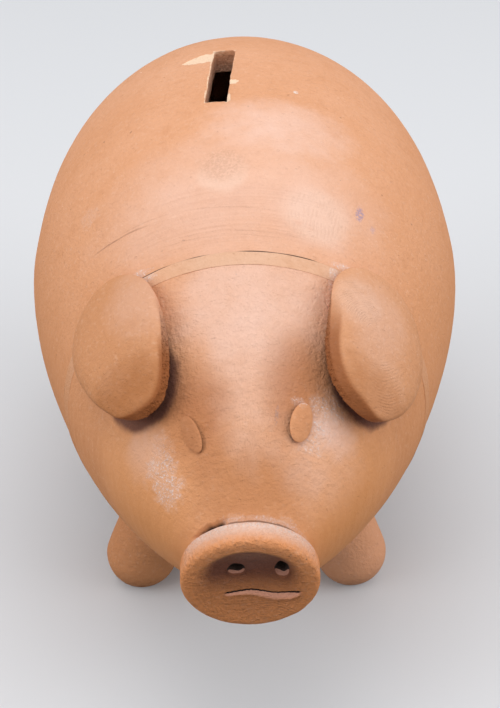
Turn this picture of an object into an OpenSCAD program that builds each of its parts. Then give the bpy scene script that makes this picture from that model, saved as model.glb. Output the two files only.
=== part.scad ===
// Thrown terracotta pig coin bank.
// The pig stands along Y with its snout towards -Y, +Z is up and X = 0 is its middle plane.
// The ground is Z = 0, and the origin lies on it below the middle of the pig's length.
// Places along the pig are measured from the neck seam, positive towards the rump.
// Left and right are the pig's own sides, so left is +X.

/* [Body] */
// Outer radius of the thrown body at its widest ring
belly_r = 50; // [42:0.5:60]
// Distance from the neck seam back to the widest ring
belly_back = 46.8; // [38:0.2:56]
// Distance from the widest ring to the end of the rump
rump_len = 77.7; // [62:0.1:95]
// Squareness of the rump, where 2 is an ellipse
rump_square = 2.43; // [2:0.01:3]
// Outer radius of the body at the neck seam
neck_r = 38.8; // [34:0.2:41]
// How late the shoulder swells from the neck to the widest ring
shoulder_swell = 1.59; // [1.4:0.01:2.2]
// Thickness of the thrown wall
wall = 5.5; // [4:0.1:7.5]
// Height of the body's axis above the ground
axis_h = 68; // [60:0.5:80]

/* [Coin slot] */
// Width of the coin slot
slot_w = 4.8; // [3.5:0.1:7]
// Length of the coin slot
slot_len = 30.5; // [24:0.5:40]
// Middle of the slot behind the neck seam
slot_back = 61; // [50:0.2:75]
// Middle of the slot to the pig's right of its spine
slot_off = 5.2; // [0:0.1:8]
// Turn of the slot away from the spine, in degrees
slot_skew = 3.8; // [0:0.1:8]

/* [Head] */
// Distance from the neck seam to the middle of the snout's seat
head_len = 46.6; // [38:0.1:56]
// How far the head's rim stands out past the body's rim
rim_step = 0.4; // [0.1:0.1:2]
// Outer radius of the head at the snout's seat
nose_r = 11.5; // [10:0.1:16]
// Roundness of the cheeks, where 0 is a straight cone
cheek_round = 0.4; // [0:0.01:0.7]
// Thickness of the closed nose end
nose_wall = 7; // [5:0.5:10]
// Width of the slip band wiped into the seam
band_w = 3.2; // [1.5:0.1:4]
// Depth of the slip band
band_depth = 1.6; // [0.6:0.1:2]

/* [Snout] */
// Outer radius of the snout disc
snout_r = 13.4; // [12:0.1:17]
// Thickness of the snout disc
snout_thk = 5.5; // [5:0.1:9]
// Rounding of the disc's front edge
snout_edge = 2.4; // [1:0.1:2.8]
// Rounding of the disc's back edge
snout_back_edge = 1; // [0.4:0.1:1.8]
// Downward tilt of the snout, in degrees
snout_tilt = 10; // [0:0.5:20]
// Drop of the snout's seat below the body's axis
snout_drop = 2.2; // [0:0.1:4]
// Width of the flat rim between the rounded front edge and the dished face
rim_flat = 0.3; // [0.1:0.1:2.5]
// Depth of the dished face
dish_depth = 1.8; // [0.4:0.1:2]
// Width of the mouth slit
mouth_w = 15.4; // [10:0.2:16]
// Middle of the mouth to the pig's left of the snout's centre
mouth_off = 2.2; // [0:0.1:2.5]
// Drop of the mouth below the snout's centre
mouth_drop = 2.8; // [2:0.1:4]
// Height of the mouth slit
mouth_gap = 1; // [0.6:0.1:1.6]
// Droop of the mouth slit towards its right corner
mouth_droop = 1; // [0:0.1:1.2]
// Depth of the mouth slit
mouth_depth = 2; // [1:0.1:2.4]

/* [Nostrils] */
// Diameter of the left nostril
left_nostril_d = 2.7; // [1.8:0.1:3.6]
// Place of the left nostril from the snout's centre, to the pig's left
left_nostril_off = 6; // [4.5:0.1:7]
// Diameter of the right nostril
right_nostril_d = 2.5; // [1.8:0.1:3.6]
// Place of the right nostril from the snout's centre, to the pig's right
right_nostril_off = 2.6; // [2.4:0.1:7]
// Rise of the nostrils above the snout's centre
nostril_rise = 5.2; // [3:0.1:5.8]
// How far the nostrils are poked into the nose behind the disc
nostril_poke = 3; // [0:0.5:4.5]

/* [Ears] */
// Thickness of the ears
ear_thk = 5; // [3.5:0.1:7]
// Height that the free ends stand off the head
ear_lift = 3; // [0:0.1:4]
// How much the ears narrow from the middle to the free end, as a share of their width
ear_taper = 0.34; // [0:0.01:0.45]
// Squareness of the ears' outline, where 2 is an ellipse
ear_square = 2.55; // [2:0.05:3.5]
// Angle of the ears down from the top of the head
ear_angle = 44.4; // [38:0.2:52]
// Length of the left ear
left_ear_len = 31.6; // [26:0.2:35]
// Width of the left ear
left_ear_w = 22.8; // [18:0.2:28]
// Turn of the left ear's free end towards the middle of the head, in degrees
left_ear_turn = 2; // [0:0.5:15]
// Middle of the left ear in front of the neck seam
left_ear_fwd = 13.9; // [12:0.1:17]
// Length of the right ear
right_ear_len = 31.4; // [26:0.2:35]
// Width of the right ear
right_ear_w = 20.4; // [18:0.2:28]
// Turn of the right ear's free end towards the middle of the head, in degrees
right_ear_turn = 7; // [0:0.5:15]
// Middle of the right ear in front of the neck seam
right_ear_fwd = 14.4; // [12:0.1:17]

/* [Eyes] */
// Length of the eye pellets
eye_len = 8.1; // [6:0.1:11]
// Width of the left eye pellet
left_eye_w = 4.6; // [3:0.1:7]
// Width of the right eye pellet
right_eye_w = 3.9; // [3:0.1:7]
// Thickness of the eye pellets
eye_thk = 1.3; // [0.8:0.1:2.5]
// Place of the left eye in front of the neck seam
left_eye_fwd = 32.5; // [29:0.1:36]
// Angle of the left eye down from the top of the head
left_eye_angle = 25.5; // [18:0.5:32]
// Place of the right eye in front of the neck seam
right_eye_fwd = 33.7; // [29:0.1:36]
// Angle of the right eye down from the top of the head
right_eye_angle = 29.3; // [18:0.5:34]
// Turn of the right eye's lower end towards the snout, in degrees
right_eye_turn = 6; // [0:1:20]

/* [Feet] */
// Radius of the rounded end of a foot
foot_r = 8.7; // [7:0.1:11]
// Radius of a foot's stub where it meets the belly
stub_r = 8.1; // [6:0.1:10]
// Height of the rounded end's centre above the ground
foot_rise = 7.3; // [5.5:0.1:8.5]
// Outward splay of the feet, in degrees
foot_splay = 18; // [0:1:25]
// Distance of the feet from the middle plane
foot_out = 25.8; // [20:0.2:32]
// Place of the front feet behind the neck seam
front_foot_back = 20.6; // [14:0.2:26]
// Place of the rear feet behind the neck seam
rear_foot_back = 80; // [70:0.5:86]

/* [Tail] */
// Diameter of the rolled tail at its root
tail_root_d = 6; // [4.5:0.1:8]
// Diameter of the rolled tail at its tip
tail_tip_d = 3.2; // [2.4:0.1:5]
// Radius of the tail's curl at its middle line
curl_r = 6; // [4.5:0.1:9]
// Height of the curl's middle above the body's axis
tail_rise = 22; // [14:0.5:30]

/* [Hidden] */
$fn = 96;
// Room left between a luted piece and the wall that it sits on
lute_gap = 0.08;
// Excess of cutting tools past the faces that they cut
over = 1;
// Steps along the profile curves
shoulder_steps = 14;
rump_steps = 24;
cheek_steps = 14;
// The head's wall runs on past the snout's seat by this share, to be cut by the seat's plane
nose_excess = 1.12;
// Roundness of the edges of ears and eyes, where 2 is an ellipse
ear_edge = 4.5;
eye_edge = 2.6;
// Turn of the tail's curl between its root and its tip, in degrees
curl_turn = 330;
tail_steps = 30;
tail_sides = 12;
clay = [0.80, 0.56, 0.40];
clay_pale = [0.84, 0.62, 0.46];
clay_dark = [0.72, 0.47, 0.33];

head_rim_r = neck_r + rim_step;
dish_r = snout_r - snout_edge - rim_flat;
left = 1;
right = -1;

// Outer radius of the body at a place behind the seam
function body_radius(back) = back < belly_back
  ? belly_r - (belly_r - neck_r) * pow((belly_back - back) / belly_back, shoulder_swell)
  : belly_r * pow(max(0, 1 - pow((back - belly_back) / rump_len, rump_square)), 1 / rump_square);
// Outer radius and slope of the head at a place in front of the seam
function head_radius(fwd) = head_rim_r - (head_rim_r - nose_r)
  * ((1 - cheek_round) * fwd / head_len + cheek_round * pow(fwd / head_len, 2));
function head_slope(fwd) = (head_rim_r - nose_r) / head_len
  * (1 - cheek_round + 2 * cheek_round * fwd / head_len);

// Outline of the body, shrunk by an inset, from the seam round to the rump's end on the axis
function body_outline(inset) = concat(
  [for (i = [0:shoulder_steps - 1]) let (back = belly_back * i / shoulder_steps)
    [body_radius(back) - inset, back]],
  [for (i = [0:rump_steps]) let (a = 90 * i / rump_steps)
    [(belly_r - inset) * pow(cos(a), 2 / rump_square),
     belly_back + (rump_len - inset) * pow(sin(a), 2 / rump_square)]]);
// Outline of the head, shrunk by an inset square to its wall, from the seam to a place in front of it
function head_outline(inset, fwd_end) =
  [for (i = [0:cheek_steps]) let (fwd = fwd_end * i / cheek_steps)
    [head_radius(fwd) - inset * sqrt(1 + pow(head_slope(fwd), 2)), -fwd]];

// Where the tail's middle meets the rump, and how far the rump leans back there
tail_back = belly_back + rump_len * pow(1 - pow(tail_rise / belly_r, rump_square), 1 / rump_square);
tail_lean = atan2(pow(tail_rise / belly_r, rump_square - 1) / belly_r,
  pow((tail_back - belly_back) / rump_len, rump_square - 1) / rump_len);
// Middle line and radius of the tail at a share of its length, in a frame with its Z out of the rump.
// It starts at the top of the curl, runs round once, draws in and lifts off the rump towards its tip.
function tail_radius(u) = (tail_root_d + (tail_tip_d - tail_root_d) * u) / 2;
function tail_middle(u) = let (a = 90 + curl_turn * u, r = curl_r * (1 - 0.3 * u))
  [r * cos(a), r * sin(a), tail_radius(u) * (0.6 + 0.9 * u)];
// A ring of the tail, and its round tip, in the same frame
function tail_ring(u, share, reach) = let (
  m = tail_middle(u), a = 90 + curl_turn * u, r = tail_radius(u) * share, e = tail_radius(u) * reach)
  [for (k = [0:tail_sides - 1]) let (b = 360 * k / tail_sides)
    [m[0] + r * cos(b) * cos(a) - e * sin(a), m[1] + r * cos(b) * sin(a) + e * cos(a), m[2] + r * sin(b)]];
tail_rings = concat(
  [for (i = [0:tail_steps]) tail_ring(i / tail_steps, 1, 0)],
  [for (a = [30, 60, 85]) tail_ring(1, cos(a), sin(a))]);
// The same points from the seam and the body's axis
tail_points = [for (ring = tail_rings, p = ring)
  [p[0], tail_back + p[2] * cos(tail_lean) - p[1] * sin(tail_lean),
   tail_rise + p[2] * sin(tail_lean) + p[1] * cos(tail_lean)]];
// Ends of the pig along its length, measured from the seam
snout_end = head_len + (lute_gap + snout_thk - snout_edge) * cos(snout_tilt)
  + (snout_r - snout_edge) * sin(snout_tilt) + snout_edge;
tail_end = max([for (p = tail_points) p[1]]);
seam_y = (snout_end - tail_end) / 2;

// Turns a revolved form about Z onto the body's axis, with its Z along the pig
module along_axis() translate([0, seam_y, axis_h]) rotate([-90, 0, 0]) children();
// Puts children on the snout's seat, with their Z out of the snout and their Y up
module on_snout()
  translate([0, seam_y - head_len, axis_h - snout_drop]) rotate([90 + snout_tilt, 0, 0]) children();

// The solid that the body's outer surface encloses, grown by a small gap
module body_skin(gap)
  along_axis() rotate_extrude() polygon(concat([[0, 0]], body_outline(-gap)));

module slot_cut()
  translate([-slot_off, seam_y + slot_back, axis_h + belly_r - wall]) rotate([0, 0, -slot_skew])
    translate([-slot_w / 2, -slot_len / 2, -2 * wall]) cube([slot_w, slot_len, 4 * wall]);

module body_shell() color(clay) difference() {
  body_skin(0);
  along_axis() rotate_extrude()
    polygon(concat([[0, -over], [neck_r - wall, -over]], body_outline(wall)));
  slot_cut();
}

module nostril(d, off) on_snout()
  translate([off, nostril_rise, -nostril_poke]) cylinder(d = d, h = nostril_poke + snout_thk + over);

module nostrils() {
  nostril(left_nostril_d, left_nostril_off);
  nostril(right_nostril_d, -right_nostril_off);
}

module head_shell() color(clay) difference() {
  along_axis() rotate_extrude()
    polygon(concat([[0, 0]], head_outline(0, head_len * nose_excess), [[0, -head_len * nose_excess]]));
  along_axis() rotate_extrude()
    polygon(concat([[0, over], [head_radius(0) - wall, over]], head_outline(wall, head_len - nose_wall),
      [[0, nose_wall - head_len]]));
  along_axis() rotate_extrude() band_groove(0);
  on_snout() translate([-belly_r, -belly_r, 0]) cube([2 * belly_r, 2 * belly_r, head_len]);
  nostrils();
}

// Section of the seam's groove, with its floor and its front face pulled in by a gap
module band_groove(gap)
  translate([head_rim_r - band_depth + gap, gap - band_w]) square([band_depth + over, band_w + over]);

module seam_band() color(clay_pale) along_axis() rotate_extrude() intersection() {
  band_groove(lute_gap);
  polygon(concat([[0, 0]], head_outline(0, head_len / 2), [[0, -head_len / 2]]));
}

module mouth_cut() on_snout()
  translate([mouth_off, -mouth_drop, snout_thk - dish_depth - mouth_depth])
    linear_extrude(mouth_depth + dish_depth + over) polygon(mouth_outline());

// A slit that droops towards one corner and narrows to points at both
function mouth_outline(steps = 16) = concat(
  [for (i = [0:steps]) let (u = i / steps) mouth_point(u, 1)],
  [for (i = [steps - 1:-1:1]) let (u = i / steps) mouth_point(u, -1)]);
function mouth_point(u, edge) = [mouth_w * (u - 0.5),
  edge * mouth_gap / 2 * sqrt(sin(180 * u)) - mouth_droop * pow(1 - u, 2)];

module snout_disc() color(clay_dark) difference() {
  on_snout() translate([0, 0, lute_gap]) difference() {
    rotate_extrude() union() {
      square([snout_r - snout_edge, snout_thk]);
      square([snout_r - snout_back_edge, snout_thk - snout_edge]);
      translate([0, snout_back_edge]) square([snout_r, snout_thk - snout_edge - snout_back_edge]);
      translate([snout_r - snout_edge, snout_thk - snout_edge]) circle(snout_edge);
      translate([snout_r - snout_back_edge, snout_back_edge]) circle(snout_back_edge);
    }
    dish_ball_r = (dish_r * dish_r + dish_depth * dish_depth) / (2 * dish_depth);
    translate([0, 0, snout_thk - dish_depth + dish_ball_r]) sphere(dish_ball_r);
  }
  nostrils();
  mouth_cut();
}

// Faces between the rings of a tube or a pad, and across the two ends of a tube
function ring_point(i, k, sides) = i * sides + k % sides;
function wall_faces(rings, sides) = [for (i = [0:rings - 2], k = [0:sides - 1]) each [
  [ring_point(i, k, sides), ring_point(i + 1, k, sides), ring_point(i + 1, k + 1, sides)],
  [ring_point(i, k, sides), ring_point(i + 1, k + 1, sides), ring_point(i, k + 1, sides)]]];
function tube_faces(rings, sides) = concat(
  [[for (k = [0:sides - 1]) k]], wall_faces(rings, sides),
  [[for (k = [sides - 1:-1:0]) (rings - 1) * sides + k]]);

// A clay pad pressed onto the head. It is an oval of the given length and width about a middle place,
// its front end can turn towards the middle of the head, and it can narrow and stand off the head there.
function pad_rings(steps, edge) = concat(
  [for (i = [1:3]) [0.13 * i, pow(1 - pow(0.13 * i, edge), 1 / edge)]],
  [for (i = [1:2 * steps - 1]) let (a = 90 - 90 * i / steps)
    [pow(cos(a), 2 / edge), sign(a) * pow(abs(sin(a)), 2 / edge)]],
  [for (i = [3:-1:1]) [0.13 * i, -pow(1 - pow(0.13 * i, edge), 1 / edge)]]);
function pad_point(side, fwd, angle, along, across, height) = let (
  slope = atan(head_slope(fwd)),
  place = fwd + along * cos(slope),
  lean = atan(head_slope(place)),
  around = angle + across / head_radius(place) * 180 / PI,
  out = head_radius(place) + height * cos(lean))
  [side * out * sin(around), seam_y - place - height * sin(lean), axis_h + out * cos(around)];

module pad(side, fwd, angle, len, width, thk, edge, spokes, steps, turn = 0, lift = 0, taper = 0, square = 2) {
  rings = pad_rings(steps, edge);
  function bend(x) = sign(x) * pow(abs(x), 2 / square);
  function point(share, rise, a) = let (
    p = share * len / 2 * bend(cos(a)),
    q = share * width / 2 * bend(sin(a)) * (1 - taper * bend(cos(a))),
    along = p * cos(turn) + q * sin(turn),
    across = q * cos(turn) - p * sin(turn),
    stand = lift * pow(max(0, 0.5 + along / len), 2))
    pad_point(side, fwd, angle, along, across, lute_gap + stand + thk * (1 + rise) / 2);
  points = concat(
    [for (ring = rings, k = [0:spokes - 1]) point(ring[0], ring[1], side * 360 * k / spokes)],
    [point(0, 1, 0), point(0, -1, 0)]);
  top = len(rings) * spokes;
  polyhedron(points, concat(
    [for (k = [0:spokes - 1]) [top, k, (k + 1) % spokes]],
    wall_faces(len(rings), spokes),
    [for (k = [0:spokes - 1]) [top + 1, ring_point(len(rings) - 1, k + 1, spokes), top - spokes + k]]));
}

module ear(side, fwd, len, width, turn) color(clay)
  pad(side, fwd, ear_angle, len, width, ear_thk, ear_edge, 36, 6, turn, ear_lift, ear_taper, ear_square);
module left_ear() ear(left, left_ear_fwd, left_ear_len, left_ear_w, left_ear_turn);
module right_ear() ear(right, right_ear_fwd, right_ear_len, right_ear_w, right_ear_turn);

module eye(side, fwd, angle, width, turn) color(clay)
  pad(side, fwd, angle, eye_len, width, eye_thk, eye_edge, 24, 4, turn);
module left_eye() eye(left, left_eye_fwd, left_eye_angle, left_eye_w, 0);
module right_eye() eye(right, right_eye_fwd, right_eye_angle, right_eye_w, right_eye_turn);

// A stub foot with a rounded end, cut flat by the ground and hollowed by the belly that it is pressed to
module foot(side, back, steps = 12) color(clay_dark) difference() {
  stub_len = axis_h / cos(foot_splay);
  translate([side * foot_out, seam_y + back, foot_rise]) rotate([0, -side * foot_splay, 0])
    rotate_extrude() polygon(concat(
      [for (i = [0:steps]) let (a = 90 * i / steps) [foot_r * sin(a), -foot_r * cos(a)]],
      [for (i = [1:steps]) let (u = i / steps)
        [stub_r + (foot_r - stub_r) * (1 + cos(180 * u)) / 2, 2 * foot_r * u]],
      [[stub_r, stub_len], [0, stub_len]]));
  translate([side * foot_out - axis_h, seam_y + back - axis_h, -axis_h]) cube([2 * axis_h, 2 * axis_h, axis_h]);
  body_skin(lute_gap);
}

module front_left_foot() foot(left, front_foot_back);
module front_right_foot() foot(right, front_foot_back);
module rear_left_foot() foot(left, rear_foot_back);
module rear_right_foot() foot(right, rear_foot_back);

// A tapered roll of clay curled once on the rump and pressed to it
module tail() color(clay) difference() {
  translate([0, seam_y, axis_h]) polyhedron(tail_points, tube_faces(len(tail_rings), tail_sides));
  body_skin(lute_gap);
}

body_shell();
head_shell();
seam_band();
snout_disc();
left_ear();
right_ear();
left_eye();
right_eye();
front_left_foot();
front_right_foot();
rear_left_foot();
rear_right_foot();
tail();
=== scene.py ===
"""Looks of a thrown terracotta pig coin bank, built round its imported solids.

Lengths are in millimetres until a mesh is made. Places along the pig are measured from its neck seam,
positive towards the rump, and angles go round its axis from the top towards the pig's left side.
"""

import logging
import math
from abc import ABC, abstractmethod
from collections.abc import Callable
from dataclasses import asdict, dataclass, field
from enum import Enum
from typing import Any

import bpy
import numpy as np
from mathutils import Matrix, Vector


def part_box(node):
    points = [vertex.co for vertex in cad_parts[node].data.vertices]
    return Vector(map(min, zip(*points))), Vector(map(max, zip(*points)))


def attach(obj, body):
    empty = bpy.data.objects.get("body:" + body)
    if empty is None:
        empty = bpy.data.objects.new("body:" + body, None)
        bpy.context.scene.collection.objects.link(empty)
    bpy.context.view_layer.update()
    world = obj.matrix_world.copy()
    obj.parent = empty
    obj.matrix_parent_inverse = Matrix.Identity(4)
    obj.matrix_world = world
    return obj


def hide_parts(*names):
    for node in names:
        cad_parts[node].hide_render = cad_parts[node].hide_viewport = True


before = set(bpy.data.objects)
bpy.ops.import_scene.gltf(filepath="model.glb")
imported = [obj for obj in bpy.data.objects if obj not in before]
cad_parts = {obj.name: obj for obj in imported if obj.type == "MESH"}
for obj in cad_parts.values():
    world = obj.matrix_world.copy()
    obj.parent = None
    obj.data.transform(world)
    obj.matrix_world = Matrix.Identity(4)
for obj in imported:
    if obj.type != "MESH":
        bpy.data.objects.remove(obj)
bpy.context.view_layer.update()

LOG = logging.getLogger("pig_bank")
MM = 0.001
SHARP_ANGLE = math.radians(55)
LUTE_GAP = 0.08
QUARTER = math.pi / 2
OPAQUE = 1.0
POLES = (0.0, 0.0)

Array = np.ndarray
Number = np.ndarray | float
Colour = tuple[float, float, float]
Place = tuple[float, float, float]
Sockets = dict[str | int, Any]


class Side(Enum):
    """The pig's own sides, as signs of X."""

    LEFT = 1
    RIGHT = -1


class FootRow(Enum):
    """The two rows of feet, as places behind the neck seam."""

    FRONT = 20.6
    REAR = 80.0


def ease(value: Number, low: Number, high: Number) -> Array:
    """Rises smoothly from 0 at low to 1 at high, or falls where low is the greater."""
    share = np.clip((value - low) / (high - low), 0, 1)
    return share * share * (3 - 2 * share)


def joined(*parts: Number) -> Array:
    """Points that have the given coordinates."""
    return np.stack(np.broadcast_arrays(*parts), axis=-1)


def rotated(x: Number, y: Number, angle: float) -> tuple[Number, Number]:
    """Turns places round the origin, from x towards y."""
    cos, sin = math.cos(angle), math.sin(angle)
    return x * cos - y * sin, x * sin + y * cos


def fillet(away: Array, radius: float) -> Array:
    """How far an edge is rounded off at distances from it."""
    return radius * (1 - np.sqrt(1 - np.clip(1 - away / radius, 0, 1) ** 2))


def even_angles(columns: int) -> Array:
    """Angles of a full turn, in one row."""
    return np.linspace(0, math.tau, columns, endpoint=False)[None, :]


def crowded_angles(columns: int, crowding: float) -> Array:
    """Angles from the bottom round over the top, closer together there, in one row."""
    even = math.pi * (2 * np.arange(columns) / columns - 1)
    return (even - crowding * np.sin(even))[None, :]


def respace(profile: Array, step: float, crowd: Array | float = 1.0) -> Array:
    """Spaces the points of a profile evenly along its length.

    Args:
        profile: Points of a curve, closely spaced.
        step: Distance between the new points.
        crowd: How many times closer the points lie, for each point of the profile.

    Returns:
        Points of the same curve, with its two ends kept.
    """
    crowd = np.broadcast_to(crowd, len(profile))
    lengths = np.hypot(*np.diff(profile, axis=0).T) * (crowd[1:] + crowd[:-1]) / 2
    reach = np.concatenate([[0], np.cumsum(lengths)])
    stops = np.linspace(0, reach[-1], max(2, round(reach[-1] / step)))
    return joined(*(np.interp(stops, reach, part) for part in profile.T))


@dataclass(frozen=True)
class PigForm:
    """The thrown form that every piece sits on, with the driving sizes of the solids."""

    seam_y: float
    axis_h: float
    belly_r: float = 50.0
    belly_back: float = 46.8
    rump_len: float = 77.7
    rump_square: float = 2.43
    neck_r: float = 38.8
    shoulder_swell: float = 1.59
    wall: float = 5.5
    head_len: float = 46.6
    rim_step: float = 0.4
    nose_r: float = 11.5
    cheek_round: float = 0.4
    nose_wall: float = 7.0
    snout_tilt: float = math.radians(10)
    snout_drop: float = 2.2

    @classmethod
    def of_frame(cls) -> "PigForm":
        """Places the form where the body's solid is."""
        low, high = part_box("body_shell")
        return cls(seam_y=low.y / MM, axis_h=(low.z + high.z) / 2 / MM)

    @property
    def head_rim_r(self) -> float:
        """Outer radius of the head at the seam."""
        return self.neck_r + self.rim_step

    @property
    def head_fall(self) -> float:
        """How much the head's radius falls from the seam to the snout."""
        return self.head_rim_r - self.nose_r

    def body_radius(self, back: Number) -> Array:
        """Outer radius of the body.

        Args:
            back: Places behind the seam.

        Returns:
            Distances from the axis.
        """
        shoulder = np.clip((self.belly_back - back) / self.belly_back, 0, 1) ** self.shoulder_swell
        rump = np.clip((back - self.belly_back) / self.rump_len, 0, 1) ** self.rump_square
        front = self.belly_r - (self.belly_r - self.neck_r) * shoulder
        rear = self.belly_r * (1 - rump) ** (1 / self.rump_square)
        return np.where(back < self.belly_back, front, rear)

    def head_radius(self, fwd: Number) -> Number:
        """Outer radius of the head at places in front of the seam."""
        share = fwd / self.head_len
        return self.head_rim_r - self.head_fall * share * (1 - self.cheek_round * (1 - share))

    def head_slope(self, fwd: Number) -> Number:
        """Fall of the head's radius for each millimetre in front of the seam."""
        steep = 1 - self.cheek_round + 2 * self.cheek_round * fwd / self.head_len
        return self.head_fall / self.head_len * steep

    def skin_radius(self, along: float) -> float:
        """Outer radius of the body or the head at one place."""
        return float(self.body_radius(along) if along > 0 else self.head_radius(-along))

    def place(self, along: Number, angle: Number, radius: Number) -> Array:
        """Points at places along the pig, angles round its axis and distances from it."""
        x, up = radius * np.sin(angle), radius * np.cos(angle)
        return joined(x, self.seam_y + along, self.axis_h + up)

    def on_snout(self, x: Number, up: Number, out: Number) -> Array:
        """Points at places across and up the snout and at distances out of its seat."""
        rise, ahead = rotated(up, out, self.snout_tilt)
        return joined(x, self.seam_y - self.head_len - ahead, self.axis_h - self.snout_drop + rise)

    def along_of(self, points: Array) -> Array:
        """Places of points along the pig."""
        return points[..., 1] - self.seam_y

    def off_axis(self, points: Array) -> Array:
        """Distances of points from the axis."""
        return np.hypot(points[..., 0], points[..., 2] - self.axis_h)

    def clear_of_body(self, points: Array) -> Array:
        """Pushes points that lie inside the body out to its skin.

        Args:
            points: Points in the frame of the solids.

        Returns:
            The points, with those outside the body kept.
        """
        reach = self.off_axis(points)
        least = self.body_radius(self.along_of(points)) + LUTE_GAP
        grow = np.where(reach < least, least / np.maximum(reach, 1e-6), 1)
        up = points[..., 2] - self.axis_h
        return joined(points[..., 0] * grow, points[..., 1], self.axis_h + up * grow)


@dataclass
class RingSurface:
    """Closed rings of points, ended by a pole each or joined end to end."""

    rings: Array
    poles: tuple[Array, Array] | None = None

    def faces(self) -> list[list[int]]:
        """Joins the rings by quads, and the end rings to the poles by fans.

        Returns:
            Numbers of the points of each face.
        """
        rows, columns, _ = self.rings.shape
        index = np.arange(rows * columns).reshape(rows, columns)
        if self.poles is None:
            index = np.concatenate([index, index[:1]])
        after = np.roll(index, -1, axis=1)
        made = joined(index[:-1], index[1:], after[1:], after[:-1]).reshape(-1, 4).tolist()
        if self.poles is not None:
            made += joined(rows * columns, index[0], after[0]).tolist()
            made += joined(rows * columns + 1, after[-1], index[-1]).tolist()
        return made

    def mesh(self, name: str) -> bpy.types.Mesh:
        """Makes a closed mesh whose faces point outwards.

        Args:
            name: Name of the mesh.

        Returns:
            The mesh, in metres.
        """
        points = self.rings.reshape(-1, 3)
        if self.poles is not None:
            points = np.concatenate([points, np.stack(self.poles)])
        made = bpy.data.meshes.new(name)
        made.from_pydata((points * MM).tolist(), [], self.faces())
        if signed_volume(made) < 0:
            made.flip_normals()
        made.shade_smooth()
        return made


def points_of(mesh: bpy.types.Mesh) -> Array:
    """Reads the places of a mesh's points.

    Args:
        mesh: The mesh.

    Returns:
        Its points, in millimetres.
    """
    flat = np.zeros(len(mesh.vertices) * 3, np.float32)
    mesh.vertices.foreach_get("co", flat)
    return flat.reshape(-1, 3).astype(float) / MM


def signed_volume(mesh: bpy.types.Mesh) -> float:
    """Measures the volume inside a closed mesh.

    Args:
        mesh: The mesh.

    Returns:
        The volume, negative where the faces point inwards.
    """
    mesh.calc_loop_triangles()
    corners = np.zeros(len(mesh.loop_triangles) * 3, np.int32)
    mesh.loop_triangles.foreach_get("vertices", corners)
    a, b, c = np.moveaxis(points_of(mesh)[corners.reshape(-1, 3)], 1, 0)
    return float(np.einsum("ij,ij->", a, np.cross(b, c)) / 6)


def store(mesh: bpy.types.Mesh, name: str, values: Array, ends: tuple[float, ...] = ()) -> None:
    """Keeps one number for each point of a mesh under a name, those at its ends last."""
    kept = mesh.attributes.new(name, "FLOAT", "POINT")
    kept.data.foreach_set("value", np.append(values, ends).astype(np.float32))


def new_object(name: str, data: bpy.types.ID) -> bpy.types.Object:
    """Links a new object to the scene.

    Args:
        name: Name of the object.
        data: Its mesh, lamp or camera.

    Returns:
        The object.
    """
    made = bpy.data.objects.new(name, data)
    bpy.context.scene.collection.objects.link(made)
    return made


def settle(piece: bpy.types.Object) -> None:
    """Turns a piece with modifiers into a plain mesh.

    Args:
        piece: The piece, whose modifiers are then removed.
    """
    graph = bpy.context.evaluated_depsgraph_get()
    shaped = piece.evaluated_get(graph)
    made = bpy.data.meshes.new_from_object(shaped, preserve_all_data_layers=True, depsgraph=graph)
    piece.modifiers.clear()
    piece.data = made


class Graph:
    """A node tree, and the methods that add nodes to it."""

    def __init__(self, tree: bpy.types.NodeTree) -> None:
        """Keeps the tree that nodes go into."""
        self.tree = tree

    @classmethod
    def cleared(cls, owner: bpy.types.ID) -> "Graph":
        """Empties the node tree of a material or a world.

        Args:
            owner: The material or the world.

        Returns:
            The graph of its tree.
        """
        owner.use_nodes = True
        owner.node_tree.nodes.clear()
        return cls(owner.node_tree)

    def node(self, kind: str, sockets: Sockets | None = None, **settings: Any) -> bpy.types.Node:
        """Adds a node.

        Args:
            kind: Type of the node.
            sockets: Numbers, colours or values for its input sockets.
            **settings: Properties of the node, set first.

        Returns:
            The node.
        """
        node = self.tree.nodes.new(kind)
        for name, setting in settings.items():
            setattr(node, name, setting)
        for name, given in (sockets or {}).items():
            socket = node.inputs[name]
            if isinstance(given, Value):
                self.tree.links.new(given.socket, socket)
            else:
                socket.default_value = (*given, OPAQUE) if socket.type == "RGBA" else given
        return node

    def add(
        self, kind: str, sockets: Sockets | None = None, out: str | int = 0, **settings: Any
    ) -> "Value":
        """Adds a node and gives one of its outputs."""
        return Value(self, self.node(kind, sockets, **settings).outputs[out])

    def math(self, operation: str, *terms: Any) -> "Value":
        """Adds a Math node on numbers or values."""
        return self.add("ShaderNodeMath", dict(enumerate(terms)), operation=operation)

    def scaled(self, vector: "Value", factor: Any) -> "Value":
        """Adds a Vector Math node that scales a vector by a number."""
        return self.add("ShaderNodeVectorMath", {0: vector, "Scale": factor}, "Vector", operation="SCALE")

    def blend(self, base: Any, over: Any, amount: Any) -> "Value":
        """Adds a Mix node that lays one colour over another by an amount."""
        return self.add("ShaderNodeMix", {0: amount, 6: base, 7: over}, 2, data_type="RGBA")

    def noise(self, vector: "Value", size: float, detail: float = 2.0, roughness: float = 0.5) -> "Value":
        """Adds a Noise Texture with grains of a size, which gives numbers about 0.5."""
        sockets = {"Vector": vector, "Scale": 1 / size, "Detail": detail, "Roughness": roughness}
        return self.add("ShaderNodeTexNoise", sockets, "Fac")


def arithmetic(operation: str, swapped: bool = False) -> Callable[["Value", Any], "Value"]:
    """Makes a method that runs a Math node on a value and on a number or another value.

    Args:
        operation: What the node does.
        swapped: Whether the value comes second.

    Returns:
        The method.
    """

    def method(value: "Value", other: Any) -> "Value":
        """Adds the node and gives its result."""
        terms = (other, value) if swapped else (value, other)
        return value.graph.math(operation, *terms)

    return method


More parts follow.
